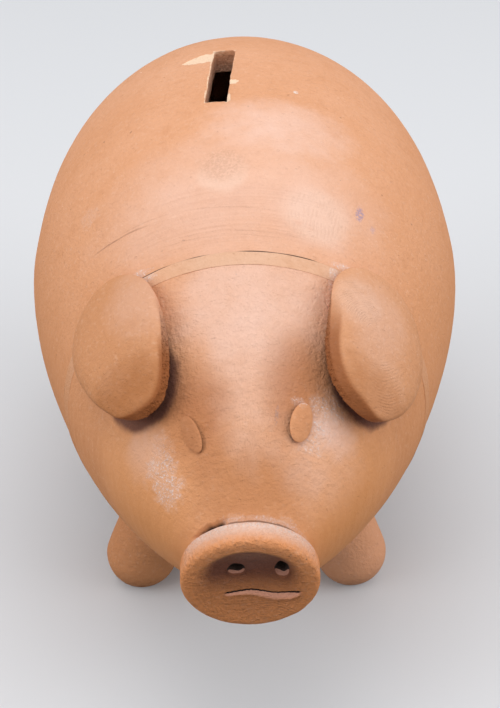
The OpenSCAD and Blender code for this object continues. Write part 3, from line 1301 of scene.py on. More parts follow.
@dataclass
class ThrownHead(ClayPiece):
    """The hollow head, with a groove for the seam's slip and a flat seat for the snout."""

    columns: int = 300
    crowding: float = 0.35
    cheek_rows: int = 140
    band_w: float = 3.2
    band_depth: float = 1.6
    lip: float = 0.04
    notch_w: float = 1.35
    notch_depth: float = 1.2
    notch_low: tuple[float, float] = (-72.0, -58.0)
    notch_high: tuple[float, float] = (-20.0, -34.0)
    seat_tries: int = 12
    row_bunching: float = 1.6

    def seat_place(self, angle: Array) -> Array:
        """Finds where the cheek meets the snout's seat.

        Args:
            angle: Angles round the axis.

        Returns:
            Places in front of the seam.
        """
        form = self.form
        fwd = np.full_like(angle, form.head_len)
        for _ in range(self.seat_tries):
            up = form.head_radius(fwd) * np.cos(angle) + form.snout_drop
            fwd = form.head_len + math.tan(form.snout_tilt) * up
        return fwd

    def rim_profile(self) -> Array:
        """Draws the inner wall from the nose to the rim, and the slip's groove.

        Returns:
            Radii and places in front of the seam.
        """
        form = self.form
        inside = np.linspace(form.head_len - form.nose_wall, 0, 30)
        inside_r = form.head_radius(inside) - form.wall * np.sqrt(1 + form.head_slope(inside) ** 2)
        floor_r = form.head_rim_r - self.band_depth
        edge_r = form.head_radius(self.band_w)
        groove = [[floor_r, 0], [floor_r, self.band_w], [edge_r - self.lip, self.band_w]]
        turn = np.linspace(0.2, QUARTER, 5)
        lip_r = edge_r - self.lip * (1 - np.sin(turn))
        lip = joined(lip_r, self.band_w + self.lip * (1 - np.cos(turn)))
        return np.concatenate([joined(inside_r, inside), groove, lip])

    def shape(self) -> bpy.types.Mesh:
        """Revolves the wall from inside the nose round the rim and out to the snout's seat.

        Returns:
            The head's mesh.
        """
        form = self.form
        angles = crowded_angles(self.columns, self.crowding)
        profile = self.rim_profile()
        rim = form.place(-profile[:, 1, None], angles, profile[:, 0, None])
        start, end = self.band_w + self.lip, self.seat_place(angles)
        share = 1 - np.linspace(1, 0, self.cheek_rows + 1)[1:, None] ** self.row_bunching
        fwd = start + (end - start) * share
        behind = end - fwd
        turned = np.degrees(angles)
        window = ease(turned, *self.notch_low) * ease(turned, *self.notch_high)
        crumbly = self.notch_w * (1 + 0.08 * np.sin(13 * angles) + 0.05 * np.sin(31 * angles + 1))
        notch = ease(behind / crumbly, 1.0, 0.85) * window
        cheeks = form.place(-fwd, angles, form.head_radius(fwd) - self.notch_depth * notch)
        poles = (form.place(form.nose_wall - form.head_len, 0.0, 0.0), form.on_snout(0.0, 0.0, 0.0))
        made = RingSurface(np.concatenate([rim, cheeks]), poles).mesh(self.node)
        points = points_of(made)
        sunk = form.head_radius(-form.along_of(points)) - form.off_axis(points)
        store(made, "inside", ease(sunk, 1.5, 3.0))
        joint = 0.54 + 0.1 * ease(turned, 12, 30) + 0.06 * np.sin(11 * angles)
        line = 0.52 * ease(behind / joint, 1.0, 0.9) * ease(np.abs(turned), 75, 62)
        salt = 0.25 * ease(behind, 1.3, 1.05) * ease(np.abs(turned), 85, 60) * (1 - window)
        plain = np.zeros(rim.shape[:2])
        # Painted shade in the notch beside the snout, and the dark joint line above it.
        store(made, "crack_and_shade", np.concatenate([plain, np.maximum(0.75 * notch, line)]), POLES)
        store(made, "salt", np.concatenate([plain, salt]), POLES)
        return made


@dataclass
class SeamBand(ClayPiece):
    """The ring of slip that fills the seam, wiped flush."""

    columns: int = 300
    crowding: float = 0.35
    width: float = 3.2
    depth: float = 1.6
    corner: float = 0.06
    gape: float = 0.12

    def shape(self) -> bpy.types.Mesh:
        """Revolves a section with rounded outer corners.

        Returns:
            The band's mesh.
        """
        form = self.form
        angles = crowded_angles(self.columns, self.crowding)
        gape = self.gape * (1 + 0.25 * np.sin(9 * angles) + 0.2 * np.sin(23 * angles + 1))
        broken = 0.9 * np.sin(7 * angles + 2) + 0.5 * np.sin(19 * angles)
        front = self.width - 0.5 * LUTE_GAP * np.clip(broken, 0, 1)
        turn = np.linspace(0, QUARTER, 6)[:, None]
        start = gape + self.corner
        rear_r = form.head_radius(start) - self.corner * (1 - np.sin(turn))
        rear = start - self.corner * np.cos(turn)
        face = start + np.linspace(0, 1, 10)[1:-1, None] * (front - self.corner - start)
        ahead_r = form.head_radius(front) - self.corner * (1 - np.cos(turn))
        ahead = front - self.corner * (1 - np.sin(turn))
        floor = np.full_like(angles, form.head_rim_r - self.depth + LUTE_GAP)
        radius = np.concatenate([floor, rear_r, form.head_radius(face), ahead_r, floor])
        fwd = np.concatenate([gape, rear, face, ahead, front])
        made = RingSurface(form.place(-fwd, angles, radius)).mesh(self.node)
        crack_and_shade = np.zeros_like(radius)
        crack_and_shade[:2] = 1
        store(made, "crack_and_shade", crack_and_shade)
        return made


@dataclass
class ClayPad(ClayPiece):
    """An oval pad of clay pressed onto the head, whose front end may narrow and stand off it."""

    side: Side
    fwd: float
    angle: float
    length: float
    width: float
    turn: float = 0.0
    thickness: float = 5.0
    lift: float = 0.0
    taper: float = 0.0
    square: float = 2.0
    inner_square: float = 2.0
    root_edge: float = 2.6
    tip_edge: float = 2.6
    spokes: int = 120
    hoops: int = 48
    tilt: float = 0.0
    dish: float = 0.0
    root_thin: float = 1.0
    bevel: float = 0.0
    nod: float = 0.0
    # Painted shadow on the pad's lower wall: how dark, the height it starts below, and the way it faces.
    crack_and_shade: float = 0.0
    crack_top: float = 0.15
    crack_way: float = math.radians(-75)
    # Partly darker rough clay and partly painted shade on the wall towards the cut.
    raw_and_shade: float = 0.0
    cut_way: float = math.radians(-60)
    flat_end: float = 0.97

    def drape(self, along: Array, across: Array, height: Array) -> Array:
        """Lays points of a flat pad over the head.

        Args:
            along: Places from the pad's middle towards the snout.
            across: Places from the pad's middle down the side of the head.
            height: Heights above the head.

        Returns:
            Points in the frame of the solids.
        """
        form = self.form
        place = self.fwd + along * math.cos(math.atan(form.head_slope(self.fwd)))
        lean = np.arctan(form.head_slope(place))
        around = self.angle + across / form.head_radius(place)
        out = form.head_radius(place) + height * np.cos(lean)
        return form.place(-place - height * np.sin(lean), self.side.value * around, out)

    def point(self, share: Number, rise: Number, spoke: Number) -> Array:
        """Places points on the pad's surface.

        Args:
            share: Distances from the pad's middle, as shares of its outline.
            rise: Heights between its under side, -1, and its face, 1.
            spoke: Directions from its middle, 0 towards the snout.

        Returns:
            Points in the frame of the solids.
        """
        height = (1 + rise) / 2
        share = share * (1 - self.bevel * ease(np.cos(spoke - self.cut_way), 0.3, 0.85) * height)
        power = 2 / np.where(np.sin(spoke) < 0, self.inner_square, self.square)
        ahead = np.sign(np.cos(spoke)) * np.abs(np.cos(spoke)) ** power
        aside = np.sign(np.sin(spoke)) * np.abs(np.sin(spoke)) ** power
        p = share * self.length / 2 * ahead
        q = share * self.width / 2 * aside * (1 - self.taper * ahead)
        along, across = rotated(p, q, -self.turn)
        stand = self.lift * np.maximum(0, 0.5 + along / self.length) ** 2
        rooted = self.root_thin + (1 - self.root_thin) * ease(along / self.length, -0.5, -0.05)
        body = self.thickness * rooted * (1 + self.tilt * 2 * across / self.width)
        hollow = self.dish * (1 - share**2) ** 2 * (rise > 0)
        hollow = hollow + self.nod * ease(along / self.length, 0.0, 0.55) * height
        return self.drape(along, across, LUTE_GAP + stand + body * height - hollow)

    def shape(self) -> bpy.types.Mesh:
        """Makes the pad from its face, over its edge, to its under side.

        Returns:
            The pad's mesh.
        """
        spoke = even_angles(self.spokes)
        edge = self.root_edge + (self.tip_edge - self.root_edge) * ease(np.cos(spoke), -0.3, 0.7)
        spread = np.linspace(0.04, 1, self.hoops // 2)[:, None]
        face = self.flat_end * (1 - (1 - spread) ** 1.7) * np.ones_like(spoke)
        cap = (1 - face**edge) ** (1 / edge)
        wall_rise = np.linspace(1, -1, self.hoops // 2 + 2)[1:-1, None] * cap[-1:]
        wall = (1 - np.abs(wall_rise) ** edge) ** (1 / edge)
        share = np.concatenate([face, wall, face[::-1]])
        rise = np.concatenate([cap, wall_rise, -cap[::-1]])
        poles = (self.point(0.0, 1.0, 0.0), self.point(0.0, -1.0, 0.0))
        made = RingSurface(self.point(share, rise, spoke), poles).mesh(self.node)
        store(made, "rough", self.roughness_of(share, rise, spoke), POLES)
        # Painted shadow on the lower wall, on the side that stands off the head.
        gape = self.crack_and_shade * ease(rise, self.crack_top, self.crack_top - 0.45)
        store(made, "crack_and_shade", gape * ease(np.cos(spoke - self.crack_way), 0.1, 0.6), POLES)
        # Partly darker rough clay and partly painted shade on the wall towards the cut.
        wall_side = ease(share, 0.88, 0.95) * ease(rise, 0.84, 0.6) * ease(rise, -1.0, -0.9)
        raw_and_shade_way = ease(np.cos(spoke - self.cut_way + math.radians(-15)), 0.3, 0.75)
        store(made, "raw_and_shade", self.raw_and_shade * wall_side * raw_and_shade_way, POLES)
        return made

    def roughness_of(self, share: Array, rise: Array, spoke: Array) -> Array:
        """How rough the pad's surface is, which is 0 on a pad smoothed all over."""
        return np.zeros_like(share)


@dataclass
class FloppedEar(ClayPad):
    """A lop ear, smoothed on its face and left rough where it was cut."""

    grog: GrogTree = field(kw_only=True)
    seed: int = 1
    rough_top: float = 0.2
    rough_way: float = math.radians(-60)
    grains_each_square: float = 3.0
    grain_size: float = 0.42

    def roughness_of(self, share: Array, rise: Array, spoke: Array) -> Array:
        """Rough on the wall of the edge that faces the snout and the middle of the head.

        Args:
            share: Distances from the ear's middle, as shares of its outline.
            rise: Heights between its under side, -1, and its face, 1.
            spoke: Directions from its middle.

        Returns:
            Shares from 0 to 1.
        """
        wall = ease(share, 0.88, 0.95) * ease(rise, -1.0, -0.9)
        wall = wall * ease(rise, self.rough_top, self.rough_top - 0.3)
        return wall * ease(np.cos(spoke - self.rough_way), 0.4, 0.8)

    def dress(self, piece: bpy.types.Object, clay: bpy.types.Material, relief_tree: ReliefTree) -> None:
        """Adds grains of grog on the rough edge after the worked surface.

        Args:
            piece: The ear.
            clay: Its material.
            relief_tree: The tree that makes the worked surface.
        """
        super().dress(piece, clay, relief_tree)
        sizes = {"grains_each_square": self.grains_each_square, "grain_size": self.grain_size}
        self.grog.press(piece, clay, sizes | {"seed": self.seed})


@dataclass(frozen=True)
class Nostril:
    """A hole poked into the snout, with clay pushed up below it."""

    x: float
    up: float
    half_w: float
    half_h: float
    drag: float = 1.3
    depth: float = 3.3
    scoop: float = 0.5
    bank: float = 0.25

    def hole(self, x: Number, up: Number, edge: float = 1.0) -> Array:
        """Tells where the hole is.

        Args:
            x: Places across the snout.
            up: Places up the snout.
            edge: Share of the hole's outline to reach.

        Returns:
            1 in the hole, 0 outside it.
        """
        aside, above = (x - self.x) / self.half_w, (up - self.up) / self.half_h
        away = np.hypot(aside * (1 + 0.12 * np.sin(3 * above)), above + 0.1 * np.sin(4 * aside))
        return ease(away, edge + 0.06, edge - 0.14)

    def below(self, x: Number, up: Number) -> Array:
        """Distance from the middle of the clay dragged out below the hole, as a share of its outline."""
        under = (self.up - up - self.drag / 2) / (self.half_h + self.drag / 2)
        return np.hypot((x - self.x) / self.half_w / 1.1, under)

    def ramp(self, x: Number, up: Number) -> Array:
        """How deep the clay is dragged out below the hole, as a share."""
        depth = np.clip(1 - (self.up - up) / (self.half_h + self.drag), 0, 1)
        return depth * ease(self.below(x, up), 1.05, 0.85)

    def height(self, x: Number, up: Number) -> Array:
        """Height of the snout's face about the hole."""
        bank = np.exp(-(((self.below(x, up) - 1.15) / 0.12) ** 2)) * ease(self.up - up, 0, self.half_h)
        return self.bank * bank - np.maximum(self.scoop * self.ramp(x, up), self.depth * self.hole(x, up))


@dataclass(frozen=True)
class Mouth:
    """A slit that droops to one corner, with a swollen lip below it."""

    knots: tuple[tuple[float, float], ...] = (
        (-5.5, -3.6),
        (-2.6, -3.15),
        (0.3, -2.75),
        (2.4, -3.1),
        (4.6, -3.45),
        (7.0, -2.85),
        (10.3, -1.9),
    )
    gap: float = 0.36
    depth: float = 2.3
    facet_low: float = 0.7
    facet_high: float = 1.65
    swell: float = 0.4
    clear: float = 9.0

    def place(self, x: Number, up: Number) -> tuple[Array, Array, Array]:
        """Turns places on the snout into the slit's own.

        Args:
            x: Places across the snout.
            up: Places up the snout.

        Returns:
            Shares along the slit, distances below its line, and how open it is there.
        """
        knots = np.array(self.knots)
        fine = np.linspace(knots[0, 0], knots[-1, 0], 60)
        line = np.interp(fine, knots[:, 0], knots[:, 1])
        line = np.convolve(np.pad(line, 4, mode="edge"), np.ones(9) / 9, mode="valid")
        share = np.clip((x - fine[0]) / (fine[-1] - fine[0]), 0, 1)
        below = np.interp(x, fine, line) - up + 0.03 * np.sin(5.5 * x)
        return share, below, ease(np.sin(math.pi * share), 0.02, 0.3)

    def tall(self, share: Array) -> Array:
        """Height of the cut below the slit's line."""
        grown = self.facet_low + (self.facet_high - self.facet_low) * ease(share, 0.0, 0.75)
        return grown * (1 - 0.6 * ease(share, 0.82, 1.0))

    def slit(self, x: Number, up: Number, edge: float = 0.0) -> Array:
        """Tells where the slit is.

        Args:
            x: Places across the snout.
            up: Places up the snout.
            edge: Width of a margin round it.

        Returns:
            1 in the slit, 0 outside its margin.
        """
        share, below, opened = self.place(x, up)
        gap = self.gap * (0.55 + 0.45 * share)
        under_top = ease(below, -0.12 - edge, 0.02 - edge)
        return under_top * ease(below, gap + edge, 0.75 * gap + edge) * opened

    def facet(self, x: Number, up: Number) -> Array:
        """Tells where the sloping cut below the slit is.

        Args:
            x: Places across the snout.
            up: Places up the snout.

        Returns:
            1 on the cut, 0 outside it.
        """
        share, below, opened = self.place(x, up)
        tall = self.tall(share)
        return ease(below, 0.3 * self.gap, 0.9 * self.gap) * ease(below, 1.2 * tall, 0.6 * tall) * opened

    def height(self, x: Number, up: Number) -> Array:
        """Height of the snout's face about the slit, whose lower lip is swollen.

        Args:
            x: Places across the snout.
            up: Places up the snout.

        Returns:
            Heights in millimetres.
        """
        share, below, opened = self.place(x, up)
        down = below / self.tall(share)
        lip = self.swell * (1.9 * np.clip(down, 0, 1) - 0.9)
        lip = lip * ease(down, 1.5, 1.0) * ease(below, -0.05, 0.1) * opened
        slit = self.slit(x, up)
        return np.minimum(lip, -self.depth * slit + self.clear * (slit <= 0))


@dataclass
class SnoutDisc(ClayPiece):
    """The disc of the snout, hollowed in front, with nostrils and a mouth."""

    radius: float = 13.4
    thickness: float = 5.4
    edge: float = 2.4
    back_edge: float = 1.0
    rim_flat: float = 0.3
    dish: float = 1.5
    sill: float = 0.6
    edge_square: float = 3.4
    columns: int = 560
    row_step: float = 0.11
    back_rings: tuple[float, ...] = (8.0, 4.0)
    nostrils: tuple[Nostril, ...] = (
        Nostril(6.0, 4.6, 1.15, 1.45, 1.7),
        Nostril(-2.6, 3.95, 1.4, 1.12, 1.0),
    )
    mouth: Mouth = Mouth()

    @property
    def dish_r(self) -> float:
        """Radius of the hollowed face."""
        return self.radius - self.edge - self.rim_flat

    def face_height(self, x: Number, up: Number) -> Array:
        """Measures the front face against its rim.

        Args:
            x: Places across the snout.
            up: Places up the snout.

        Returns:
            Heights in millimetres.
        """
        reach = np.hypot(x, up)
        share = np.clip(reach / self.dish_r, 0, 1)
        sill = self.sill * ease(up, -2.0, 8.0) * ease(self.dish_r - reach, 0.0, 2.0)
        height = -sill - self.dish * (1 - share**2)
        for feature in (*self.nostrils, self.mouth):
            height = height + feature.height(x, up)
        return height

    def edge_rings(self, around: Array) -> Array:
        """Makes the disc's edge and back.

        Args:
            around: Angles round the disc.

        Returns:
            Rings of places across, up and out of the seat.
        """
        turn = np.linspace(0, QUARTER, 14)
        front_r = self.radius - self.edge * (1 - np.sin(turn) ** (2 / self.edge_square))
        front_z = self.thickness - self.edge * (1 - np.cos(turn) ** (2 / self.edge_square))
        back_r = self.radius - self.back_edge * (1 - np.cos(turn))
        back_z = self.back_edge * (1 - np.sin(turn))
        radius = np.concatenate([front_r, back_r, self.back_rings])[:, None]
        out = np.concatenate([front_z, back_z, np.zeros(len(self.back_rings))])[:, None]
        return joined(radius * np.cos(around), radius * np.sin(around), out)

    def shape(self) -> bpy.types.Mesh:
        """Makes the disc from its face, round its edge, to its back.

        Returns:
            The snout's mesh.
        """
        around = even_angles(self.columns)
        face_r = np.arange(self.row_step, self.dish_r + self.edge * 0.05, self.row_step)[:, None]
        x, up = face_r * np.cos(around), face_r * np.sin(around)
        face = joined(x, up, self.thickness + self.face_height(x, up))
        rings = np.concatenate([face, self.edge_rings(around)])
        x, up, out = np.moveaxis(rings, -1, 0)
        centre = self.thickness + self.face_height(0.0, 0.0)
        poles = (self.form.on_snout(0.0, 0.0, centre + LUTE_GAP), self.form.on_snout(0.0, 0.0, LUTE_GAP))
        made = RingSurface(self.form.on_snout(x, up, out + LUTE_GAP), poles).mesh(self.node)
        on_face = (np.arange(len(rings)) < len(face))[:, None]
        # Partly darker clay and partly painted shade in the dish, fading more softly away from its top.
        low = out - self.thickness - 0.05 < 0
        fade = 2.2 + 2.2 * ease(up, 8.0, 0.0)
        dished = ease((self.dish_r + 0.3 - np.hypot(x, up)) / fade, 0.0, 1.0) * low * on_face
        store(made, "dished", dished, (1, 0))
        store(made, "rough", (0.12 + 0.24 * ease(up, 3.0, -3.0)) * on_face, (0.2, 0))
        holes = sum(nostril.hole(x, up, 1.2) for nostril in self.nostrils)
        # Painted shade in the nostrils and the mouth's slit.
        store(made, "crack_and_shade", np.maximum(holes, self.mouth.slit(x, up, 0.12)) * on_face, POLES)
        # Partly paler cut clay and partly painted light below the nostrils and on the lip's cut.
        ramps = 0.65 * sum(ease(nostril.ramp(x, up), 0.02, 0.15) for nostril in self.nostrils)
        store(made, "cut", np.maximum(ramps, self.mouth.facet(x, up)) * on_face, POLES)
        store(made, "salt", 0.75 * ease(out, 1.5, 1.2) * ease(up, 3.0, 8.0) * ~on_face, POLES)
        return made


@dataclass
class StubFoot(ClayPiece):
    """A stub foot with a rounded end, pressed to the belly."""

    side: Side
    row: FootRow
    radius: float = 8.7
    stub_r: float = 8.1
    rise: float = 7.3
    splay: float = math.radians(18)
    out: float = 25.8
    flare: float = 0.7
    columns: int = 96
    farthest: float = 60.0
    halvings: int = 40

    def at(self, radius: Number, height: Number, around: Number) -> Array:
        """Points about the foot's own axis.

        Args:
            radius: Distances from the axis.
            height: Heights along the axis above the rounded end's middle.
            around: Directions round the axis.

        Returns:
            Points in the frame of the solids.
        """
        sign = self.side.value
        aside, up = rotated(radius * np.cos(around), height, sign * self.splay)
        y = self.form.seam_y + self.row.value + radius * np.sin(around)
        return joined(sign * self.out + aside, y, self.rise + up)

    def reach(self, radius: Array, around: Array) -> Array:
        """Finds how far up the axis a line round it meets the belly.

        Args:
            radius: Distances of the lines from the axis.
            around: Their directions round the axis.

        Returns:
            Heights along the axis.
        """
        low, high = np.zeros_like(around), np.full_like(around, self.farthest)
        for _ in range(self.halvings):
            middle = (low + high) / 2
            point = self.at(radius, middle, around)
            skin = self.form.body_radius(self.form.along_of(point)) + LUTE_GAP
            inside = self.form.off_axis(point) < skin
            low, high = np.where(inside, low, middle), np.where(inside, middle, high)
        return high

    def shape(self) -> bpy.types.Mesh:
        """Makes the foot from the ground up to the belly.

        Returns:
            The foot's mesh.
        """
        around = even_angles(self.columns)
        turn = np.linspace(0, QUARTER, 22)[1:, None]
        end = self.at(self.radius * np.sin(turn), -self.radius * np.cos(turn), around)
        share = np.linspace(0, 1, 34)[1:, None]
        height = share * self.reach(np.full_like(around, self.stub_r), around)
        swell = (1 + np.cos(math.pi * np.clip(height / (2 * self.radius), 0, 1))) / 2
        flare = self.flare * ease(share, 0.8, 1.0)
        stub = self.at(self.stub_r + (self.radius - self.stub_r) * swell + flare, height, around)
        rings = self.form.clear_of_body(np.concatenate([end, stub]))
        bottom = self.at(0.0, -self.radius, 0.0)
        top = self.at(0.0, self.reach(np.zeros(1), np.zeros(1))[0], 0.0)
        for points in (rings, bottom):
            points[..., 2] = np.maximum(points[..., 2], 0)
        return RingSurface(rings, (bottom, top)).mesh(self.node)


@dataclass
class CurledTail(ClayPiece):
    """A tapered roll of clay, curled once on the rump."""

    roll: RollTree
    root_d: float = 6.0
    tip_d: float = 3.2
    curl_r: float = 6.0
    draw_in: float = 0.7
    turns: float = 330 / 360
    climb: float = 0.6
    stand: float = 0.3
    rise: float = 22.0

    def shape(self) -> bpy.types.Mesh:
        """Starts from an empty mesh, which the roll fills."""
        return bpy.data.meshes.new(self.node)

    def seat(self) -> Matrix:
        """Turns the curl's own frame to lie on the rump, as a mirror image.

        Returns:
            The curl's place and directions, in metres.
        """
        form = self.form
        share = (self.rise / form.belly_r) ** form.rump_square
        back = form.rump_len * (1 - share) ** (1 / form.rump_square)
        steep_up = (self.rise / form.belly_r) ** (form.rump_square - 1) / form.belly_r
        steep_back = (back / form.rump_len) ** (form.rump_square - 1) / form.rump_len
        lean = math.atan2(steep_up, steep_back)
        cos, sin = math.cos(lean), math.sin(lean)
        mirrored = Matrix(((1, 0, 0), (0, -sin, cos), (0, cos, sin)))
        where = Vector((0, form.seam_y + form.belly_back + back, form.axis_h + self.rise)) * MM
        return Matrix.Translation(where) @ mirrored.to_4x4()

    def dress(self, piece: bpy.types.Object, clay: bpy.types.Material, relief_tree: ReliefTree) -> None:
        """Rolls the tail, sets it on the rump, works its surface and turns its faces outwards.

        Args:
            piece: The tail.
            clay: Its material.
            relief_tree: The tree that makes the worked surface.
        """
        sizes = {
            "curl_radius": self.curl_r,
            "inner_radius": self.curl_r * self.draw_in,
            "turns": self.turns,
            "rise": self.climb,
            "root_diameter": self.root_d,
            "tip_diameter": self.tip_d,
        }
        self.roll.press(piece, clay, sizes)
        lifted = Matrix.Translation((0, 0, self.stand * self.root_d * MM))
        piece.data.transform(self.seat() @ lifted @ Matrix.Rotation(QUARTER, 4, "Z"))
        clear = self.form.clear_of_body(points_of(piece.data)) * MM
        piece.data.vertices.foreach_set("co", clear.astype(np.float32).ravel())
        super().dress(piece, clay, relief_tree)
        if signed_volume(piece.data) < 0:
            piece.data.flip_normals()


@dataclass(frozen=True)
class PhotoCamera:
    """The camera at the photograph's own place, measured from the seam and the axis."""

    x: float = -2.646
    along: float = -268.872
    up: float = 205.115
    pitch: float = math.radians(35.435)
    yaw: float = math.radians(-0.707)
    roll: float = math.radians(0.079)
    focal_px: float = 1575.0
    long_side_px: float = 708.0
    sensor: float = 36.0
    nearest: float = 0.01
    farthest: float = 50.0

    def build(self, form: PigForm) -> bpy.types.Object:
        """Adds the camera and makes it the scene's.

        Args:
            form: The form that the camera is placed from.

        Returns:
            The camera.
        """
        data = bpy.data.cameras.new("photo_camera")
        data.sensor_width = self.sensor
        data.lens = self.focal_px * self.sensor / self.long_side_px
        data.clip_start, data.clip_end = self.nearest, self.farthest
        camera = new_object("photo_camera", data)
        look = Matrix.Rotation(self.yaw, 4, "Z") @ Matrix.Rotation(QUARTER - self.pitch, 4, "X")
        place = Vector((self.x, form.seam_y + self.along, form.axis_h + self.up)) * MM
        camera.matrix_world = Matrix.Translation(place) @ look @ Matrix.Rotation(-self.roll, 4, "Z")
        bpy.context.scene.camera = camera
        return camera


@dataclass(frozen=True)
class SoftBox:
    """One large soft lamp."""

    name: str
    place: Place
    aim: Place
    size: float
    power: float

    def build(self) -> bpy.types.Object:
        """Adds the lamp, turned to its aim.

        Returns:
            The lamp.
        """
        data = bpy.data.lights.new(self.name, "AREA")
        data.size, data.energy = self.size, self.power
        lamp = new_object(self.name, data)
        lamp.location = self.place
        lamp.rotation_euler = (Vector(self.aim) - lamp.location).to_track_quat("-Z", "Y").to_euler()
        return lamp


@dataclass(frozen=True)
class Studio:
    """A pale floor under soft lamps, which throws little light back up."""

    floor_half: float = 3.0
    floor_seen: Colour = (0.74, 0.75, 0.77)
    floor_thrown: Colour = (0.06, 0.06, 0.07)
    sky: Colour = (0.97, 0.98, 1.0)
    sky_light: float = 0.58
    sky_seen: float = 0.85
    lamps: tuple[SoftBox, ...] = (
        SoftBox("top_box", (-0.05, 0.0, 0.9), (0.0, 0.0, 0.06), 0.6, 2.3),
        SoftBox("left_box", (-0.85, -0.32, 0.5), (0.0, -0.03, 0.07), 0.7, 3.8),
        SoftBox("right_box", (0.85, -0.26, 0.5), (0.0, -0.03, 0.07), 0.7, 4.1),
    )

    def seen(self, graph: Graph) -> Value:
        """1 where the camera or a reflection looks, 0 for light that is thrown on."""
        direct = graph.add("ShaderNodeLightPath", out="Is Camera Ray")
        return direct.most(direct.also("Is Glossy Ray"))

    def build_floor(self) -> bpy.types.Object:
        """Adds the floor, which isn't part of the object.

        Returns:
            The floor.
        """
        half = self.floor_half
        mesh = bpy.data.meshes.new("floor")
        corners = [(-half, -half, 0), (half, -half, 0), (half, half, 0), (-half, half, 0)]
        mesh.from_pydata(corners, [], [(0, 1, 2, 3)])
        material = bpy.data.materials.new("pale_floor")
        graph = Graph.cleared(material)
        colour = graph.blend(self.floor_thrown, self.floor_seen, self.seen(graph))
        matte = graph.add("ShaderNodeBsdfDiffuse", {"Color": colour})
        graph.node("ShaderNodeOutputMaterial", {"Surface": matte})
        mesh.materials.append(material)
        floor = new_object("floor", mesh)
        return floor

    def build_sky(self) -> None:
        """Lights the scene evenly from all round, and shows a pale backdrop."""
        world = bpy.data.worlds.new("studio_sky")
        bpy.context.scene.world = world
        graph = Graph.cleared(world)
        strength = self.seen(graph) * (self.sky_seen - self.sky_light) + self.sky_light
        glow = graph.add("ShaderNodeBackground", {"Color": self.sky, "Strength": strength})
        graph.node("ShaderNodeOutputWorld", {"Surface": glow})

    def build(self) -> None:
        """Sets up the floor, the sky, the lamps and the view."""
        self.build_floor()
        self.build_sky()
        for lamp in self.lamps:
            lamp.build()
        bpy.context.scene.view_settings.view_transform = "Standard"


EAR_ORANGE: Colour = (0.60, 0.255, 0.10)
# Painted shade beside the ears, partly deeper orange clay where the pale film is wiped off.
PAINTED_SHADE_BY_EARS: Colour = (0.38, 0.12, 0.034)
CHEEK_DUST: Colour = (0.86, 0.66, 0.62)
# Painted light on the cheeks.
PAINTED_CHEEK_LIGHT: Colour = (0.98, 0.46, 0.20)
JOWL_BROWN: Colour = (0.68, 0.27, 0.085)
# Painted shadow under the ears' free ends.
PAINTED_EAR_SHADOW: Colour = (0.14, 0.052, 0.037)

BODY_MARKS: tuple[Mark, ...] = (
    # Paler patches over the top of the body: partly a pale bloom and partly painted sheen.
    FilmAndPaintedLight(37.0, 9.0, 10.0, 17.0, 0.6),
    FilmAndPaintedLight(14.0, -1.0, 20.0, 34.0, 0.5),
    FilmAndPaintedLight(12.5, 20.0, 9.0, 9.0, 0.25),
    RingZone(7.0, -6.0, 7.5, 34.0, 0.05),
    RingZone(15.0, 0.0, 4.0, 26.0, 0.03),
    FingerDab(23.2, -6.0, 6.4),
    FingerSweep((44.0, 12.0, 20.0), (14.8, 11.5, 40.1), 9.5, 0.8, 0.035, 0.34, 0.12),
    TurnedLine(11.3, -4.0, -48, 12),
    TurnedLine(6.4, -2.4, -40, 20, 0.18, 0.05),
    TurnedLine(5.4, -2.0, -36, 26, 0.2, 0.06),
    TurnedLine(4.3, -1.6, -30, 18, 0.16, 0.05),
    TurnedLine(9.2, -6.0, -52, -18, 0.3, 0.09, 0.6),
    SaltBloom(1.5, -36.0, 1.2, 5.0, 1.6),
    SaltBloom(25.2, -46.5, 3.0, 3.0, 0.35),
    SaltBloom(1.4, 32.0, 1.1, 5.0, 1.4),
    Smudge(17.0, 32.6, 2.4, 1.2, (0.26, 0.23, 0.42), 0.6),
    Smudge(14.8, 37.4, 1.2, 0.8, (0.36, 0.29, 0.44), 0.3),
    Smudge(52.0, 13.5, 0.9, 0.7, (0.95, 0.88, 0.82)),
)
